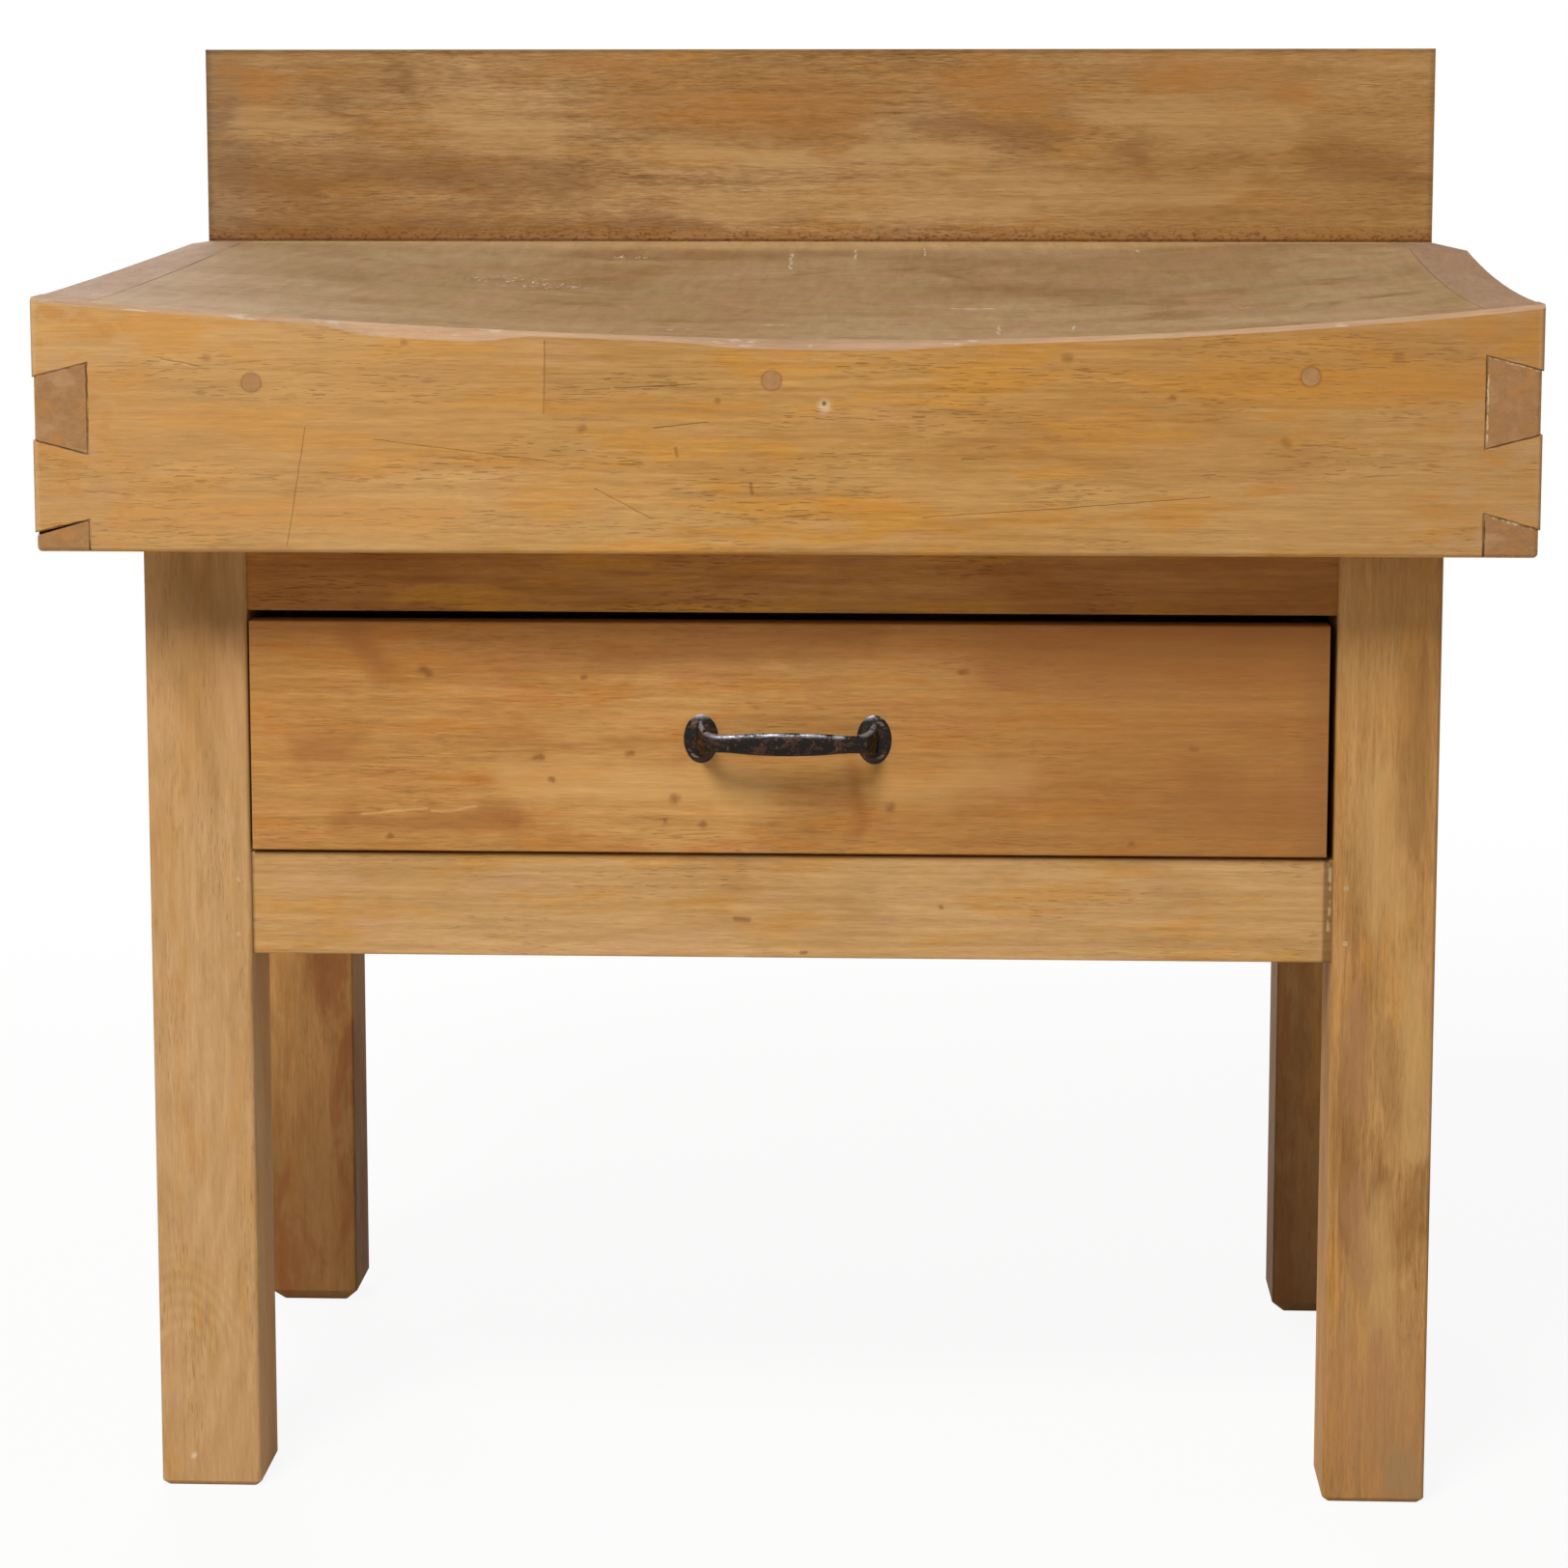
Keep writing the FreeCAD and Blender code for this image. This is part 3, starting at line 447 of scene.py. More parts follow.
def addWornTop(wood):
    worn = wornTop
    spots = wood.noise(wood.stretched((4, 5, 1)), 4, 0.6, 0.7)
    colour = wornColour(wood, spots)
    knife = knifeMarks(wood, spots)
    colour = wood.mix(knife * worn["scratchShare"], colour, tone(*worn["scratch"]))

    up = wood.facing[2]
    near = (blockTop - wood.z).between(*worn["depth"])
    onTop = up.between(0.9, 0.97) * near
    wood.colour = wood.mix(onTop, wood.colour, colour)
    eased = up.between(0.35, 0.5) * up.between(0.96, 0.91) * near
    atFront = (wood.y - blockFront).between(*worn["arrisAtFront"])
    atSides = (blockSide - abs(wood.x)).between(*worn["arrisAtSides"])
    arris = eased * atFront.above(atSides)
    wood.tint((eased - arris) * worn["easedShare"], worn["eased"])
    worked = 1 + wood.cloud.swing(0.8) + wood.streak.swing(0.6) + wood.fibre.swing(0.4)
    raw = wood.shaded(tone(*worn["arris"]), worked)
    chips = wood.noise(wood.stretched((30, 90, 90), (2, 2, 6)), 3, 0.6)
    raw = wood.mix(chips.between(0.62, 0.7) * worn["chipShare"], raw, tone(*worn["chip"]))
    wood.colour = wood.mix(arris * worn["arrisShare"], wood.colour, raw)
    wood.gloss = wood.gloss + onTop * worn["duller"]
    wood.relief = wood.relief - knife * onTop * worn["knifeDepth"]


pegPlaces = [(-0.376, 0.832), (-0.007, 0.8345), (0.371, 0.838)]
# the front board's own marks: start and end as x and z in metres, then the width
frontMarks = {
    "wisps": {
        "colour": (196, 130, 48), "share": 0.6,
        "marks": [
            ((-0.457, 0.872), (-0.415, 0.869), 0.016),
            ((-0.165, 0.815), (-0.02, 0.815), 0.012),
            ((-0.468, 0.738), (-0.233, 0.738), 0.02),
            ((0.03, 0.747), (0.08, 0.744), 0.009),
            ((0.3, 0.84), (0.46, 0.832), 0.024),
        ],
    },
    "rim": {"colour": (222, 202, 164), "share": 0.65, "marks": [((0.03, 0.8165), (0.0302, 0.8163), 0.007)]},
    "hole": {"colour": (38, 26, 16), "share": 0.9, "marks": [((0.03, 0.8185), (0.0301, 0.8183), 0.0028)]},
    "hairlines": {
        "colour": (96, 66, 38), "share": 0.34,
        "marks": [
            ((-0.289, 0.792), (-0.167, 0.777), 0.0005),
            ((-0.132, 0.757), (-0.092, 0.736), 0.0011),
            ((0.1, 0.738), (0.189, 0.744), 0.0006),
            ((0.189, 0.744), (0.302, 0.753), 0.0006),
            ((-0.167, 0.862), (-0.168, 0.81), 0.0006),
            ((-0.338, 0.8), (-0.352, 0.716), 0.0003),
            ((0.128, 0.779), (0.142, 0.7792), 0.0014),
            ((-0.117, 0.8285), (-0.06, 0.8315), 0.0009),
            ((-0.09, 0.8005), (-0.052, 0.8045), 0.001),
            ((-0.44, 0.8485), (-0.415, 0.8435), 0.001),
        ],
    },
    "spots": {
        "colour": (112, 70, 34), "share": 0.55,
        "marks": [
            ((-0.408, 0.849), (-0.407, 0.8485), 0.005),
            ((-0.267, 0.86), (-0.266, 0.86), 0.004),
            ((-0.142, 0.799), (-0.14, 0.8), 0.0045),
            ((-0.045, 0.82), (-0.045, 0.8195), 0.0035),
            ((0.2, 0.85), (0.202, 0.85), 0.0055),
            ((0.275, 0.823), (0.276, 0.8225), 0.004),
            ((0.431, 0.851), (0.433, 0.851), 0.0055),
            ((0.354, 0.792), (0.356, 0.79), 0.0055),
            ((-0.0745, 0.786), (-0.0735, 0.781), 0.0019),
            ((-0.0215, 0.761), (-0.0205, 0.754), 0.0024),
        ],
    },
    "pegs": {"colour": (104, 70, 42), "share": 0.55, "marks": [(peg, peg, 0.0148) for peg in pegPlaces]},
    # pale worn ends, partly a painted highlight on the block's rounded corners
    "wornEndsAndHighlight": {"colour": (200, 162, 122), "share": 0.4, "span": (0.0055, 0.003)},
    # painted shade, darker towards the right of the front
    "paintedRightShade": {"colour": (158, 111, 62), "share": 0.45, "span": (-0.1, 0.5)},
    # painted light, lighter towards the left of the front
    "paintedLeftLight": {"colour": (190, 146, 98), "share": 0.35, "span": (0.1, -0.45)},
    "darkPatch": {"left": (-0.168, -0.167), "right": (0.05, -0.1), "foot": (0.8, 0.815), "depth": 0.1},
    "cutDepth": 1.2,
    "pitDepth": 1,
}

# the joints at the block's corners: heights over its underside at the pins' inner and outer ends
cornerJoints = {
    "left": {"foot": (0.023, 0.0135), "pin": 0.102},
    "right": {"foot": (0.031, 0.0195), "pin": 0.109},
    "pinHalf": (0.0325, 0.02225),  # half the upper pin's height, at those two ends
    "line": 0.0011,
    "lineShare": 0.7,
    "lineDepth": 2.5,
    "gap": (84, 54, 30),
    "amber": (178, 121, 62),
    "pale": (176, 138, 101),
    "blotchShare": 0.6,
    "blotchSpan": (0.43, 0.5),
}


def jointLines(side, sign):
    joint, line = cornerJoints, cornerJoints["line"]
    inner, outer = sign * coreSide, sign * blockSide
    foot = [blockUnder + height for height in joint[side]["foot"]]
    low = [blockUnder + joint[side]["pin"] - half for half in joint["pinHalf"]]
    high = [blockUnder + joint[side]["pin"] + half for half in joint["pinHalf"]]
    lines = [((inner, ends[0]), (outer, ends[1]), line) for ends in (foot, low, high)]
    lines.append(((inner, low[0]), (inner, high[0]), line))
    lines.append(((inner, blockUnder), (inner, foot[0]), line))
    return lines


def addCornerJoints(wood):
    joint = cornerJoints
    face = wood.ragged(wood.x, wood.z, 0.0012, 160)
    toEnds = abs(wood.facing[1]).between(0.6, 0.8)  # the front and the rear
    broken = wood.noise(wood.stretched((70, 70, 70), (3, 1, 9))).between(0.36, 0.58)
    nearCorner = abs(wood.x).between(*joint["blotchSpan"]) * toEnds * joint["blotchShare"]
    blotches = wood.noise(wood.stretched((34, 34, 52), (6, 2, 4)), 4, 0.6, 0.4)
    wood.tint(blotches.between(0.52, 0.68) * nearCorner, joint["amber"])
    wood.tint(blotches.between(0.5, 0.3) * nearCorner, joint["pale"])
    lines = wood.strokes(face, jointLines("left", -1) + jointLines("right", 1)) * toEnds
    wood.tint(lines * broken * joint["lineShare"], joint["gap"])
    wood.relief = wood.relief - lines * joint["lineDepth"]


# pale filler pressed into the right-hand joints
filler = {
    "colour": (204, 184, 142), "share": 0.9,
    "marks": [
        ((0.496, 0.8525), (0.532, 0.8425), 0.0016),
        ((0.4945, 0.79), (0.4945, 0.845), 0.001),
        ((0.497, 0.7415), (0.53, 0.7315), 0.0028),
    ],
}
jointCrack = {"colour": (58, 36, 20), "share": 0.75, "marks": [((0.4938, 0.713), (0.4938, 0.737), 0.0013)]}


def addFiller(wood):
    toFront = wood.toFront()
    face = wood.ragged(wood.x, wood.z, 0.002, 220)
    crumbly = wood.noise(wood.stretched((260, 260, 260), (1, 4, 2))).between(0.4, 0.56)
    wood.mark(face, filler, crumbly * toFront)
    wood.mark(face, jointCrack, toFront)


def addFrontMarks(wood):
    toFront = wood.toFront()
    soft = wood.ragged(wood.x, wood.z, 0.012, 45)
    wood.mark(soft, frontMarks["wisps"], wood.streak.between(0.3, 0.62) * toFront)
    patch = frontMarks["darkPatch"]
    across = wood.x.between(*patch["left"]) * wood.x.between(*patch["right"])
    wood.darken(across * wood.z.between(*patch["foot"]) * toFront, patch["depth"])
    # pale worn ends, partly a painted highlight on the rounded corners
    wood.fade(frontMarks["wornEndsAndHighlight"], blockSide - abs(wood.x), toFront)
    face = wood.ragged(wood.x, wood.z, 0.0016, 120)
    broken = wood.noise(wood.stretched((60, 60, 60), (2, 8, 3)), 3, 0.6).between(0.4, 0.58)
    wood.mark(face, frontMarks["rim"], toFront)
    wood.mark(face, frontMarks["hole"], toFront)
    hairlines, spots = frontMarks["hairlines"], frontMarks["spots"]
    cuts = wood.strokes(face, hairlines["marks"]) * toFront
    pits = wood.strokes(face, spots["marks"]) * toFront
    wood.tint(cuts * broken * hairlines["share"], hairlines["colour"])
    wood.tint(pits * spots["share"], spots["colour"])
    # painted shade towards the right of the front
    wood.fade(frontMarks["paintedRightShade"], wood.x, toFront)
    # painted light towards the left of the front
    wood.fade(frontMarks["paintedLeftLight"], wood.x, toFront)
    wood.mark(wood.vector(wood.x, wood.z), frontMarks["pegs"], toFront, 0.12)
    wood.relief = wood.relief - cuts * frontMarks["cutDepth"] - pits * frontMarks["pitDepth"]


def boardMaterial(name, grain, seed, extra=(), **changes):
    wood = Wood(name, grain, seed, **changes)
    for step in extra:
        step(wood)
    return wood.done()


def dress(material, *names):
    for name in names:
        slots = nodes[name].data.materials
        slots.clear()
        slots.append(material)


print("wood of the block")
frontSteps = [addFrontMarks, addCornerJoints, addWornTop]
dress(boardMaterial("frontBoardWood", "X", 3, frontSteps), "block_front_board")
dress(boardMaterial("rearBoardWood", "X", 8, [addCornerJoints, addWornTop]), "block_rear_board")
sideSteps = [addCornerJoints, addFiller, addWornTop]
sideBoards = ("block_left_board", "block_right_board")
dress(boardMaterial("sideBoardWood", "Y", 11, sideSteps, heart=(0.5, 0.3)), *sideBoards)
staves = [name for name in nodes if name.startswith("core_stave")]
dress(boardMaterial("coreWood", "X", 5, [addWornTop]), *staves)

splashWood = {
    "pale": (168, 132, 89),
    "middle": (154, 116, 71),
    "deep": (132, 93, 51),
    "amber": (166, 115, 51),
    "rosy": (158, 116, 71),
    "grey": (140, 111, 71),
    "dash": (92, 60, 34),
    "dashShare": 0.45,
    "deepShare": 0.6,
    "rosyShare": 0.5,
    "amberShare": 0.45,
    "greyShare": 0.5,
    "streakShare": 0.5,
    "fibreShare": 0.75,
    "fibreAlong": 70,
}
splashStains = {
    "amber": {
        "colour": (164, 109, 53), "share": 0.65,
        "marks": [
            ((-0.16, 1.045), (0.03, 1.02), 0.05),
            ((-0.222, 1.072), (-0.171, 1.066), 0.02),
            ((0.132, 1.05), (0.192, 1.035), 0.04),
            ((0.295, 1.055), (0.422, 1.05), 0.03),
            ((-0.51, 1.06), (-0.48, 1.03), 0.03),
        ],
    },
    "brown": {
        "colour": (118, 80, 47), "share": 0.6,
        "marks": [
            ((-0.375, 1.066), (-0.361, 1.05), 0.02),
            ((-0.42, 1.036), (-0.414, 1.024), 0.02),
            ((0.44, 0.98), (0.515, 0.972), 0.028),
            ((-0.5, 0.97), (-0.44, 0.963), 0.03),
            ((-0.42, 0.975), (-0.2, 0.965), 0.02),
            ((0.1, 1.015), (0.2, 1.0), 0.02),
            ((-0.5, 0.925), (-0.1, 0.928), 0.014),
            ((0.27, 1.0), (0.29, 0.99), 0.02),
        ],
    },
    "pale": {
        "colour": (188, 150, 99), "share": 0.6,
        "marks": [
            ((-0.31, 1.02), (-0.235, 1.005), 0.04),
            ((-0.1, 0.95), (0.19, 0.943), 0.022),
            ((0.05, 0.965), (0.36, 0.957), 0.02),
            ((0.25, 1.02), (0.4, 1.01), 0.03),
            ((0.06, 1.0), (0.14, 0.99), 0.024),
            ((-0.13, 0.99), (0.0, 0.985), 0.02),
            ((-0.5, 1.02), (-0.43, 1.015), 0.02),
        ],
    },
}
splashShades = {
    "left": {"colour": (136, 94, 54), "share": 0.3, "span": (-0.15, -0.5)},
    "right": {"colour": (174, 128, 74), "share": 0.35, "span": (0.05, 0.35)},
    "leftEnd": {"colour": (122, 100, 80), "share": 0.35, "span": (-0.485, -0.51)},
    # painted shadow: a thin dark line where the splashback stands on the block's top
    "gap": {"colour": (70, 42, 22), "share": 0.6, "span": (0.0035, 0.0015)},  # over the block's top
    "foot": {"colour": (138, 88, 42), "share": 0.45, "span": (0.018, 0.002)},
    "crumbs": {"colour": (84, 52, 28), "share": 0.6, "span": (0.018, 0.002)},
    "darkEnds": {"span": (0.007, 0), "depth": 0.3},  # from the board's two ends
    "darkTop": {"span": (0.006, 0.001), "depth": 0.25},
    "wander": (0.14, 0.045),  # how far the stains stray along the board and up it
    "broken": 0.45,  # how much the grain breaks them up
}


def addSplashStains(wood):
    shades = splashShades
    low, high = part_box("splashback")
    toFront = wood.toFront()
    wander = wood.noise(wood.stretched((9, 9, 60)), 4, 0.6)
    drift = wood.noise(wood.stretched((14, 14, 40), (3, 2, 1)), 4, 0.6)
    along, upwards = shades["wander"]
    face = wood.vector(wood.x + wander.swing(along), wood.z + drift.swing(upwards))
    wood.fade(shades["left"], wood.x)
    wood.fade(shades["right"], wood.x)
    wood.fade(shades["leftEnd"], wood.x, toFront)
    broken = 1 - wood.streak.between(0.64, 0.36) * shades["broken"]
    for stain in splashStains.values():
        wood.mark(face, stain, broken * toFront)
    nearEnd = (wood.x - low.x).below(high.x - wood.x)
    wood.darken(nearEnd.between(*shades["darkEnds"]["span"]), shades["darkEnds"]["depth"])
    wood.darken((high.z - wood.z).between(*shades["darkTop"]["span"]), shades["darkTop"]["depth"])
    crumbs = wood.noise(wood.stretched((240, 240, 420)), 3, 0.6).between(0.52, 0.62)
    up = wood.z - blockTop
    wood.fade(shades["foot"], up, toFront)
    wood.fade(shades["crumbs"], up, crumbs * toFront)
    # painted shadow at the splashback's foot
    wood.fade(shades["gap"], up, toFront)


print("wood of the splashback")
dress(boardMaterial("splashbackWood", "X", 21, [addSplashStains], **splashWood), "splashback")

# painted light and shade: the right-hand legs get darker tones, for the side away from the light, and the
# rear left leg lighter ones, against the shade of the rails over it
legTones = {
    "leg_front_left": {
        "pale": (191, 150, 103), "middle": (179, 137, 90), "deep": (163, 119, 70), "rosy": (185, 138, 97),
        "amber": (185, 135, 70), "streakShare": 0.18, "fibreShare": 0.24,
        "ringShare": 0.035, "ringSpacing": 0.01, "lean": 0.22, "heart": (-0.46, -0.2),
    },
    "leg_front_right": {
        "pale": (181, 136, 83), "middle": (165, 119, 67), "deep": (138, 94, 51), "deepShare": 0.9,
        "streakShare": 0.4, "fibreShare": 0.46,
    },
    "leg_rear_left": {
        "pale": (210, 158, 97), "middle": (190, 139, 80), "deep": (171, 119, 65),
        "shade": 0.36, "foot": (112, 64, 32), "bloom": (176, 108, 68),
    },
    "leg_rear_right": {
        "pale": (171, 128, 79), "middle": (156, 113, 68), "deep": (133, 95, 57),
        "shade": 0.16, "foot": (114, 80, 50), "bloom": (150, 96, 60),
    },
}
legWear = {
    "amber": (188, 130, 62), "amberShare": 0.4, "dashShare": 0.3, "streakShare": 0.26,
    "fibreShare": 0.3, "greyShare": 0.5,
    # painted shade: a warmer, darker tint towards the top of the front legs, under the block
    "top": {"colour": (176, 128, 76), "share": 0.25, "span": (0.35, 0.68)},
    # the rear legs take painted shade and a redder tint towards the bottom, and painted shade on the sides
    # that face inwards
    "bloomShare": 0.6, "paleShare": 0.3, "footShare": 0.3,
    "shadeSpan": (0.33, 0.08), "footSpan": (0.45, 0.1), "insideShade": 0.35,
    "wander": (0.02, 0.12),  # how far the marks stray sideways and upwards
}
# marks on the fronts of the legs, soft ones first
frontLegMarks = {
    "dark": {
        "colour": (124, 84, 48), "share": 0.5,
        "marks": [
            ((0.443, 0.35), (0.445, 0.3), 0.011),
            ((0.435, 0.242), (0.437, 0.226), 0.012),
            ((0.41, 0.33), (0.414, 0.2), 0.016),
            ((0.458, 0.63), (0.456, 0.5), 0.016),
            ((0.464, 0.26), (0.468, 0.255), 0.008),
            ((-0.43, 0.69), (-0.41, 0.66), 0.03),
        ],
    },
    "pale": {
        "colour": (194, 154, 98), "share": 0.5,
        "marks": [
            ((0.434, 0.225), (0.438, 0.13), 0.015),
            ((0.455, 0.41), (0.46, 0.27), 0.018),
            ((0.43, 0.53), (0.435, 0.45), 0.02),
        ],
    },
    "rosy": {
        "colour": (166, 120, 84), "share": 0.6,
        "marks": [
            ((0.435, 0.09), (0.44, 0.04), 0.06),
            ((0.416, 0.37), (0.418, 0.315), 0.013),
            ((0.418, 0.24), (0.424, 0.17), 0.014),
        ],
    },
    "green": {"colour": (152, 124, 84), "share": 0.7, "marks": [((0.455, 0.035), (0.465, 0.02), 0.02)]},
}
# painted highlight along the rounded inner edge of the front right leg
legEdgeHighlight = {"colour": (204, 150, 90), "share": 0.5, "marks": [((0.406, 0.47), (0.4055, 0.12), 0.005)]}
legChalk = {"colour": (220, 200, 170), "share": 0.8, "marks": [((-0.444, 0.0236), (-0.4437, 0.024), 0.0034)]}
legArcs = {
    "heart": (-0.452, 0.09), "spacing": 0.0065, "squeeze": 0.6, "share": 0.045,
    "inner": (0.008, 0.02), "outer": (0.07, 0.04), "foot": (-0.01, 0.01), "side": (0, -0.2),
}


# arched grain that shows at the foot of the front left leg
def addLegArcs(wood, plane, toFront):
    arcs = legArcs
    wide = wood.parts(plane)[0] - arcs["heart"][0]
    high = (wood.z - arcs["heart"][1]) * arcs["squeeze"]
    away = (wide * wide + high * high) ** 0.5
    ring = (away * (2 * math.pi / arcs["spacing"])).sine()
    ring = ring * away.between(*arcs["inner"]) * away.between(*arcs["outer"])
    ring = ring * wood.x.between(*arcs["side"]) * high.between(*arcs["foot"]) * toFront
    wood.colour = wood.grained(wood.colour, ring * arcs["share"])


def addFrontLegMarks(wood):
    toFront = wood.toFront()
    sideways = wood.noise(wood.stretched((70, 70, 12)), 4, 0.6)
    upwards = wood.noise(wood.stretched((90, 90, 10), (4, 1, 6)), 4, 0.6)
    aside, up = legWear["wander"]
    soft = wood.vector(wood.x + sideways.swing(aside), wood.z + upwards.swing(up))
    face = wood.ragged(wood.x, wood.z, 0.003, 120)
    # painted shade under the block, towards the top of the leg
    wood.fade(legWear["top"], wood.z)
    for kind in frontLegMarks.values():
        wood.mark(soft, kind, toFront, 0.9)
    # painted highlight on the leg's rounded edge
    wood.mark(face, legEdgeHighlight, wood.streak.between(0.34, 0.56) * toFront)
    wood.mark(face, legChalk, toFront)
    addLegArcs(wood, soft, toFront)


# blotches, then painted shade: darker and redder towards the bottom, and darker on the sides that face
# inwards
def addRearLegMarks(wood):
    recipe = wood.recipe
    blooms = wood.noise(wood.stretched((30, 30, 10), (4, 7, 1)), 4, 0.62, 0.6)
    wood.tint(blooms.between(0.48, 0.62) * recipe["bloomShare"], recipe["bloom"])
    wood.tint(blooms.between(0.47, 0.32) * recipe["paleShare"], recipe["pale"])
    wood.darken(wood.z.between(*recipe["shadeSpan"]), recipe["shade"])
    wood.tint(wood.z.between(*recipe["footSpan"]) * recipe["footShare"], recipe["foot"])
    sideways = wood.facing[0]
    inside = sideways * wood.x.between(0.05, -0.05) - sideways * wood.x.between(-0.05, 0.05)
    wood.darken(inside.between(0.5, 0.8), recipe["insideShade"])


print("wood of the legs")
for seed, (name, tones) in enumerate(legTones.items(), start=30):
    low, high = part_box(name)
    middle = (low + high) / 2
    recipe = {"heart": (middle.x + 0.03, middle.y + 0.09), **legWear, **tones}
    steps = [addFrontLegMarks if "front" in name else addRearLegMarks]
    dress(boardMaterial(name + "Wood", "Z", seed, steps, **recipe), name)

# painted shade: the upper rail takes the darker, redder tones that it shows in the shade under the block
upperRail = {
    "pale": (178, 124, 68), "middle": (163, 108, 55), "deep": (143, 89, 41),
    "rosy": (163, 108, 60), "grey": (151, 106, 63),
    # painted shade towards the right of the rail
    "paintedRightShade": {"colour": (130, 82, 40), "share": 0.45, "span": (-0.1, 0.38)},
}
lowerRail = {
    "pale": (196, 154, 104), "middle": (185, 142, 90), "deep": (167, 123, 73), "rosy": (188, 143, 102),
    "dashShare": 0.3, "amberShare": 0.4, "fibreShare": 0.26, "streakShare": 0.34,
    # painted shadow lines at both ends, where the rail sits back between the legs
    "paintedEndShadows": {"colour": (74, 46, 25), "share": 0.6, "span": (0.3905, 0.3935)},
}
lowerRailSpots = {
    "colour": (116, 68, 40), "share": 0.6,
    "marks": [
        ((-0.036, 0.4365), (-0.027, 0.4355), 0.0035),
        ((0.114, 0.446), (0.1145, 0.4455), 0.003),
        ((0.012, 0.411), (0.015, 0.4115), 0.0028),
    ],
}
lowerRailFiller = {
    "colour": filler["colour"], "share": 0.6,
    "marks": [((0.3965, 0.43), (0.3965, 0.48), 0.002)],
}


# painted shade towards the right of the upper rail
def addUpperRailMarks(wood):
    wood.fade(upperRail["paintedRightShade"], wood.x)


def addLowerRailMarks(wood):
    toFront = wood.toFront()
    face = wood.ragged(wood.x, wood.z, 0.003, 90)
    wood.mark(face, lowerRailSpots, toFront)
    # painted shadow lines at the rail's ends, against the legs
    wood.fade(lowerRail["paintedEndShadows"], abs(wood.x))
    crumbly = wood.noise(wood.stretched((200, 200, 120), (1, 4, 2))).between(0.42, 0.58)
    wood.mark(face, lowerRailFiller, crumbly * toFront)


print("wood of the rails and aprons")
dress(boardMaterial("upperRailWood", "X", 41, [addUpperRailMarks], **upperRail), "front_upper_rail")
dress(boardMaterial("lowerRailWood", "X", 42, [addLowerRailMarks], **lowerRail), "front_lower_rail")
dress(boardMaterial("rearApronWood", "X", 43), "rear_apron")
dress(boardMaterial("sideApronWood", "Y", 44), "left_side_apron", "right_side_apron")

drawerWood = {
    "pale": (188, 140, 83),
    "middle": (175, 125, 69),
    "deep": (156, 105, 54),
    "amber": (182, 118, 54),
    "rosy": (176, 118, 72),
    "grey": (158, 117, 70),
    # painted shade towards the right of the drawer front
    "paintedRightShade": {"colour": (146, 97, 52), "share": 0.5, "span": (-0.05, 0.3)},
    "rightEnd": {"colour": (130, 85, 52), "share": 0.4, "span": (0.03, 0)},  # from that end
    # painted shadow of the block, darker and redder along the drawer's upper edge
    "paintedUpperShade": {"colour": (154, 92, 46), "share": 0.45, "span": (0.045, 0)},
    "dashShare": 0.3,
    "rosyShare": 0.7,
    "streakShare": 0.36,
    "fibreShare": 0.36,
}
# "ragged" is how far the marks wander, and how finely
drawerMarks = {
    "smudges": {
        "colour": (142, 88, 48), "share": 0.5, "ragged": (0.03, 24),
        "marks": [
            ((-0.35, 0.566), (-0.325, 0.564), 0.024),
            ((-0.31, 0.645), (-0.295, 0.62), 0.02),
            ((-0.13, 0.63), (0.06, 0.645), 0.022),
            ((0.05, 0.547), (0.05, 0.5), 0.012),
            ((0.16, 0.63), (0.36, 0.635), 0.045),
            ((0.3, 0.53), (0.36, 0.52), 0.04),
            ((-0.33, 0.505), (-0.2, 0.51), 0.016),
        ],
    },
    "pale": {
        "colour": (202, 158, 98), "share": 0.5, "ragged": (0.03, 24),
        "marks": [((-0.2, 0.54), (-0.02, 0.53), 0.03), ((0.08, 0.53), (0.17, 0.545), 0.028)],
    },
    "scratches": {
        "colour": (208, 166, 108), "share": 0.5, "ragged": (0.004, 60),
        "marks": [((-0.31, 0.5125), (-0.262, 0.517), 0.0016), ((-0.258, 0.515), (-0.226, 0.518), 0.0014)],
    },
    "knots": {
        "colour": (112, 68, 34), "share": 0.6, "ragged": (0.007, 130),
        "marks": [
            ((-0.264, 0.62), (-0.26, 0.617), 0.00585),
            ((-0.147, 0.614), (-0.146, 0.614), 0.00325),
            ((-0.184, 0.556), (-0.178, 0.555), 0.0039),
            ((-0.172, 0.538), (-0.169, 0.538), 0.00325),
            ((-0.115, 0.558), (-0.112, 0.559), 0.0039),
            ((-0.081, 0.524), (-0.08, 0.526), 0.00585),
            ((-0.061, 0.506), (-0.06, 0.507), 0.0052),
            ((-0.088, 0.509), (-0.087, 0.509), 0.0039),
            ((-0.291, 0.496), (-0.29, 0.497), 0.00325),
            ((0.128, 0.62), (0.131, 0.62), 0.0039),
            ((0.076, 0.52), (0.077, 0.521), 0.0052),
            ((0.295, 0.564), (0.297, 0.564), 0.0039),
            ((0.252, 0.495), (0.254, 0.495), 0.0039),
        ],
    },
}


def addDrawerMarks(wood):
    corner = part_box("drawer_front")[1]
    toFront = wood.toFront()
    for kind in drawerMarks.values():
        wood.mark(wood.ragged(wood.x, wood.z, *kind["ragged"]), kind, toFront)
    # painted shade towards the right
    wood.fade(drawerWood["paintedRightShade"], wood.x)
    wood.fade(drawerWood["rightEnd"], corner.x - wood.x)
    # painted shadow of the block along the upper edge
    wood.fade(drawerWood["paintedUpperShade"], corner.z - wood.z)


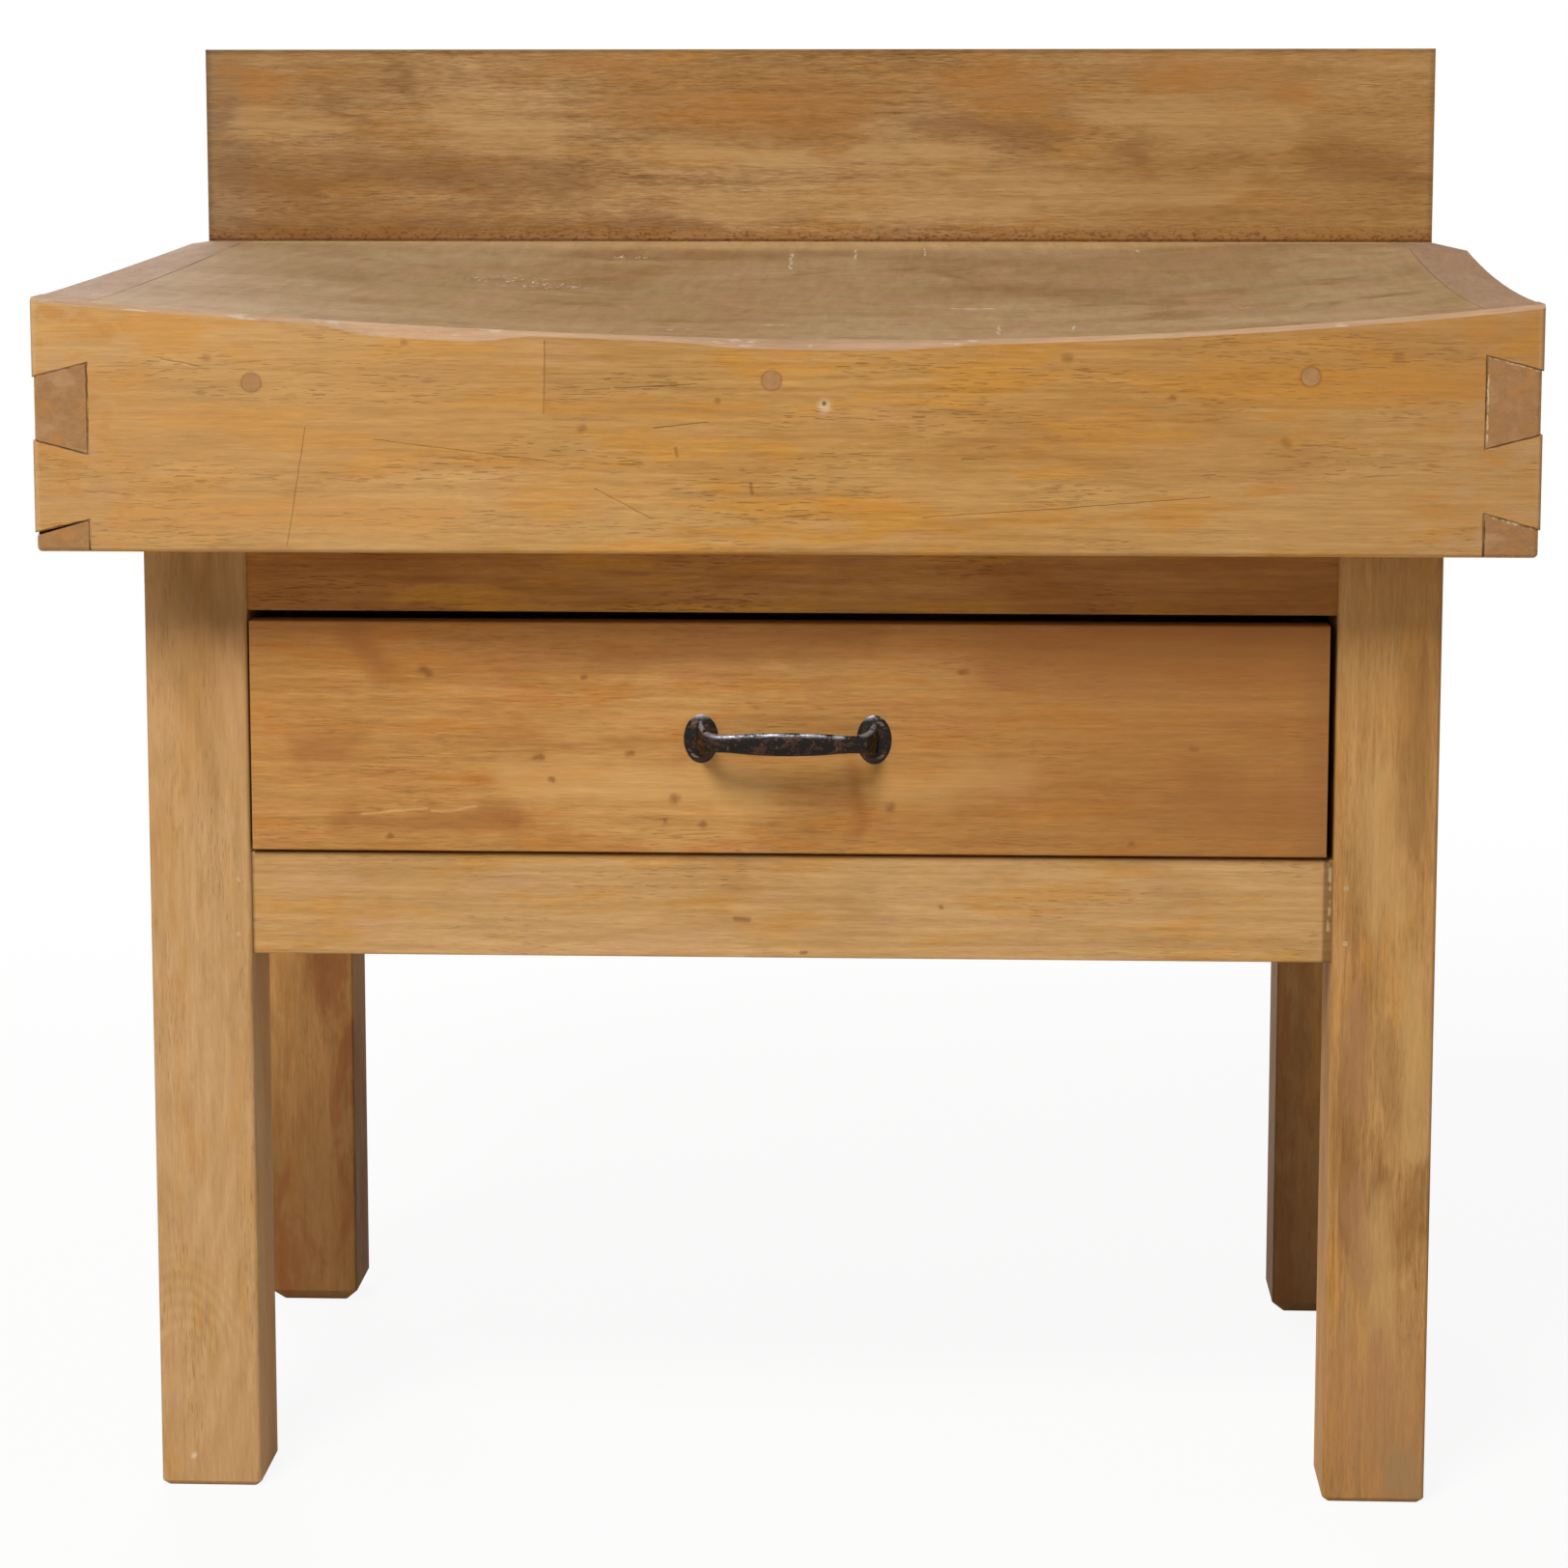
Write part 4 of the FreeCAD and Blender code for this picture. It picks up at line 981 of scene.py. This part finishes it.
print("wood of the drawer")
dress(boardMaterial("drawerFrontWood", "X", 50, [addDrawerMarks], **drawerWood), "drawer_front")
boxWood = {
    "pale": (204, 172, 128), "middle": (190, 155, 110), "deep": (168, 131, 88), "amberShare": 0.2,
    "rosy": (194, 152, 112), "grey": (178, 146, 104), "roughness": 0.8,
}
dress(boardMaterial("drawerSideWood", "Y", 51, **boxWood), "drawer_side_left", "drawer_side_right")
dress(boardMaterial("drawerBackWood", "X", 52, **boxWood), "drawer_back", "drawer_bottom")
runnerTones = {
    "pale": (186, 150, 104), "middle": (168, 132, 88), "deep": (148, 112, 72),
    "amberShare": 0.3, "roughness": 0.8,
}
slideNodes = [f"drawer_{part}_{side}" for part in ("runner", "guide", "kicker") for side in ("left", "right")]
dress(boardMaterial("runnerWood", "Y", 53, **runnerTones), *slideNodes)
dress(boardMaterial("stopWood", "X", 54, **runnerTones), "drawer_stops")

print("wood of the pegs")
pegTones = {"endGrain": (164, 121, 80), "middle": (150, 106, 66)}
dress(boardMaterial("pegWood", "Y", 60, **pegTones), "front_pegs", "rear_pegs")
dress(boardMaterial("dowelWood", "Z", 61, **pegTones), "locating_dowels")
pinTones = {"endGrain": (188, 154, 108)}
dress(boardMaterial("pinWood", "Y", 62, **pinTones), "rail_pins")

castIron = {
    "base": (30, 24, 19), "rust": (76, 53, 39), "rustShare": 0.8,
    "freshRust": 1.5, "freshShare": 0.5,  # fresh rust is so much brighter
    # the bright bare iron of the upper side, partly a painted highlight
    "highlightShare": 0.9, "bareIronHighlight": (172, 178, 192), "relief": 0.0007, "specular": 0.15,
    "roughness": 0.27, "unevenness": 0.3, "rustRoughness": 0.15,
}
screwSteel = {
    **castIron, "base": (98, 86, 74), "rust": (84, 60, 44), "rustShare": 0.7,
    "roughness": 0.42, "highlightShare": 0,
}


def ironMaterial(name, recipe):
    iron = Shader(name)
    coarse = iron.noise(iron.stretched((80, 120, 150)), 4, 0.68)
    fine = iron.noise(iron.stretched((700, 700, 700)), 3, 0.6)
    spots = (coarse * 0.65 + fine * 0.35).between(0.5, 0.58)
    colour = iron.mix(spots * recipe["rustShare"], tone(*recipe["base"]), tone(*recipe["rust"]))
    fresh = iron.noise(iron.stretched((240, 240, 240), (2, 5, 1)), 2, 0.6).between(0.58, 0.7)
    freshRust = [c * recipe["freshRust"] for c in recipe["rust"]]
    colour = iron.mix(fresh * recipe["freshShare"], colour, tone(*freshRust))
    # the upper side is bare iron rubbed bright by hands, and also a painted highlight there
    highlitTop = iron.facing[2].between(0.3, 0.85) * coarse.between(0.4, 0.54) * recipe["highlightShare"]
    gloss = recipe["roughness"] + coarse.swing(recipe["unevenness"])
    return iron.finish({
        "Base Color": iron.mix(highlitTop, colour, tone(*recipe["bareIronHighlight"])),
        "Metallic": highlitTop,
        "Roughness": gloss + spots * recipe["rustRoughness"],
        "Normal": iron.bump(coarse * 0.7 + fine * 0.3, recipe["relief"]),
        "Specular IOR Level": recipe["specular"],
    })


print("iron and steel")
dress(ironMaterial("castIron", castIron), "drawer_handle")
dress(ironMaterial("screwSteel", screwSteel), "handle_screws", "splashback_screws")

# painted shade: a dark plug that closes the joint which has opened at the block's lower left corner, behind
# its front
jointShadePlug = {
    "colour": (66, 38, 18),
    "unevenness": 0.8,
    "relief": 0.0006,
    "roughness": 0.7,
    "specular": 0.2,
    "sides": (-0.531, -0.4945),
    "upper": (0.0141, 0.0227),  # heights over the block's underside at those two sides
    "lower": (0.0118, 0.0224),
    "depth": (0.003, 0.038),
    "uneven": 0.0012,
    "steps": 24,
    "seed": 4,
}


def jointShadeMaterial():
    shadePlug = Shader("jointShadeFill")
    lumps = shadePlug.noise(shadePlug.stretched((300, 300, 300)), 3, 0.6)
    return shadePlug.finish({
        "Base Color": shadePlug.shaded(tone(*jointShadePlug["colour"]), 1 + lumps.swing(jointShadePlug["unevenness"])),
        "Roughness": jointShadePlug["roughness"],
        "Normal": shadePlug.bump(lumps, jointShadePlug["relief"]),
        "Specular IOR Level": jointShadePlug["specular"],
    })


def buildJointShadePlug():
    shadePlug, draw = jointShadePlug, random.Random(jointShadePlug["seed"])
    places, faces = [], []
    for step in range(shadePlug["steps"] + 1):
        share = step / shadePlug["steps"]
        x, high, low = (a + (b - a) * share for a, b in (shadePlug["sides"], shadePlug["upper"], shadePlug["lower"]))
        front = blockFront + shadePlug["depth"][0] + draw.uniform(0, shadePlug["uneven"])
        back = blockFront + shadePlug["depth"][1]
        corners = ((front, low), (back, low), (back, high), (front, high))
        places += [(x, y, blockUnder + z) for y, z in corners]
    for step in range(shadePlug["steps"]):
        start = step * 4
        sides = ((1, 0), (2, 1), (3, 2), (0, 3))
        faces += [(start + a, start + b, start + b + 4, start + a + 4) for a, b in sides]
    faces += [(0, 1, 2, 3), tuple(len(places) - n for n in (1, 2, 3, 4))]
    data = bpy.data.meshes.new("joint_shade_plug")
    data.from_pydata(places, [], faces)
    piece = bpy.data.objects.new("joint_shade_plug", data)
    scene.collection.objects.link(piece)
    data.materials.append(jointShadeMaterial())
    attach(piece, "table")


# painted shade in the opened joint
print("joint shade plug")
buildJointShadePlug()

# widths of the small rounding on the edges, in metres
edgeRounding = {
    "block": 0.0009,
    "splash": 0.001,
    "drawer": 0.0008,
    "small": 0.0003,
    "other": 0.0007,
}
# angles in degrees between two faces
edgeWork = {"weld": 0.00001, "flatAngle": 0.05, "sharpAngle": 25, "smoothAngle": 35, "segments": 2}
smallNodes = ("drawer_handle", "handle_screws", "splashback_screws", "rail_pins", "front_pegs", "rear_pegs")


def smoothByAngle():
    group = bpy.data.node_groups.new("smoothByAngle", "GeometryNodeTree")
    group.interface.new_socket("Geometry", in_out="INPUT", socket_type="NodeSocketGeometry")
    angle = group.interface.new_socket("Angle", in_out="INPUT", socket_type="NodeSocketFloat")
    angle.default_value = math.radians(edgeWork["smoothAngle"])
    group.interface.new_socket("Geometry", in_out="OUTPUT", socket_type="NodeSocketGeometry")
    new = group.nodes.new
    start, end = new("NodeGroupInput"), new("NodeGroupOutput")
    faces, edges = new("GeometryNodeSetShadeSmooth"), new("GeometryNodeSetShadeSmooth")
    edges.domain = "EDGE"
    bend, flat = new("GeometryNodeInputMeshEdgeAngle"), new("ShaderNodeMath")
    flat.operation = "LESS_THAN"
    link = group.links.new
    link(start.outputs[0], faces.inputs["Geometry"])
    link(faces.outputs[0], edges.inputs["Geometry"])
    link(bend.outputs["Unsigned Angle"], flat.inputs[0])
    link(start.outputs["Angle"], flat.inputs[1])
    link(flat.outputs[0], edges.inputs["Shade Smooth"])
    link(edges.outputs[0], end.inputs[0])
    return group


def roundEdges(node, width, smoothing):
    weld = node.modifiers.new("weld", "WELD")
    weld.merge_threshold = edgeWork["weld"]
    flatten = node.modifiers.new("flatten", "DECIMATE")
    flatten.decimate_type = "DISSOLVE"
    flatten.angle_limit = math.radians(edgeWork["flatAngle"])
    bevel = node.modifiers.new("roundEdges", "BEVEL")
    bevel.width = width
    bevel.segments = edgeWork["segments"]
    bevel.limit_method = "ANGLE"
    bevel.angle_limit = math.radians(edgeWork["sharpAngle"])
    smooth = node.modifiers.new("smoothByAngle", "NODES")
    smooth.node_group = smoothing
    weighted = node.modifiers.new("weighted", "WEIGHTED_NORMAL")
    weighted.keep_sharp = True


print("edges")
smoothing = smoothByAngle()
for name, node in nodes.items():
    kind = next((k for k in edgeRounding if name.startswith(k)), "other")
    kind = "small" if name in smallNodes else kind
    roundEdges(node, edgeRounding[kind], smoothing)

stage = {
    "half": 12,  # from the middle of the floor to its sides
    "floor": (0.66, 0.65, 0.63),
    "roughness": 0.9,
    "white": 0.91,  # how much of the floor is plain white to the camera near the table
    "fade": (1.3, 3.2),  # distances between which the floor turns wholly white
    "sky": 0.26,
}


def floorMaterial():
    shader = Shader("paleFloor")
    away = (shader.x * shader.x + shader.y * shader.y) ** 0.5
    white = away.between(*stage["fade"]) * (1 - stage["white"]) + stage["white"]
    glow = shader.node("ShaderNodeEmission", {}, {"Color": (1, 1, 1, 1), "Strength": 1})
    shader.finish({"Base Color": (*stage["floor"], 1), "Roughness": stage["roughness"]})
    inputs = {0: shader.seen() * white, 1: Wire(shader, shader.surface.outputs[0]), 2: glow}
    mixed = shader.node("ShaderNodeMixShader", {}, inputs)
    shader.feed(shader.tree.nodes["Material Output"].inputs["Surface"], mixed)
    return shader.material


def buildFloor():
    half = stage["half"]
    corners = [(-half, -half, 0), (half, -half, 0), (half, half, 0), (-half, half, 0)]
    data = bpy.data.meshes.new("floor")
    data.from_pydata(corners, [], [(0, 1, 2, 3)])
    data.materials.append(floorMaterial())
    floor = bpy.data.objects.new("floor", data)
    scene.collection.objects.link(floor)


# white to the camera, and a weaker light on the table
def buildSky():
    scene.world = bpy.data.worlds.new("studio")
    scene.world.use_nodes = True
    sky = Tree(scene.world.node_tree)
    level = sky.node("ShaderNodeMapRange", {}, {0: sky.seen(), 3: stage["sky"], 4: 1})
    background = sky.tree.nodes["Background"]
    sky.feed(background.inputs["Strength"], level)
    sky.feed(background.inputs["Color"], (1, 1, 1, 1))


print("stage")
buildFloor()
buildSky()

lamps = {
    "key": {"place": (-1.1, -3.1, 4.5), "aim": (0, 0, 0.6), "size": 1.6, "power": 236},
    "fill": {"place": (-2.6, -4.2, 1.8), "aim": (0, 0, 0.6), "size": 2.5, "power": 14},
    "rear": {"place": (-1.3, 4.4, 1.5), "aim": (0, 0, 0.5), "size": 2.2, "power": 150},
}
print("lamps")
for name, lamp in lamps.items():
    data = bpy.data.lights.new(name, "AREA")
    data.shape = "SQUARE"
    data.size = lamp["size"]
    data.energy = lamp["power"]
    light = bpy.data.objects.new(name, data)
    light.location = lamp["place"]
    aim = Vector(lamp["aim"]) - Vector(lamp["place"])
    light.rotation_euler = aim.to_track_quat("-Z", "Y").to_euler()
    scene.collection.objects.link(light)

# turn and tilt in degrees, sensor and lens in millimetres
view = {
    "place": (0.1247, -3.158, 1.0049), "turn": 2.51, "tilt": 7.47,
    "sensor": 36, "lens": 91.4187, "shift": -0.08,
}
print("camera")
cameraData = bpy.data.cameras.new("camera")
cameraData.sensor_width = view["sensor"]
cameraData.lens = view["lens"]
cameraData.shift_y = view["shift"]
camera = bpy.data.objects.new("camera", cameraData)
camera.location = view["place"]
camera.rotation_euler = (math.radians(90 - view["tilt"]), 0, math.radians(view["turn"]))
scene.collection.objects.link(camera)
scene.camera = camera

scene.view_settings.view_transform = "Standard"
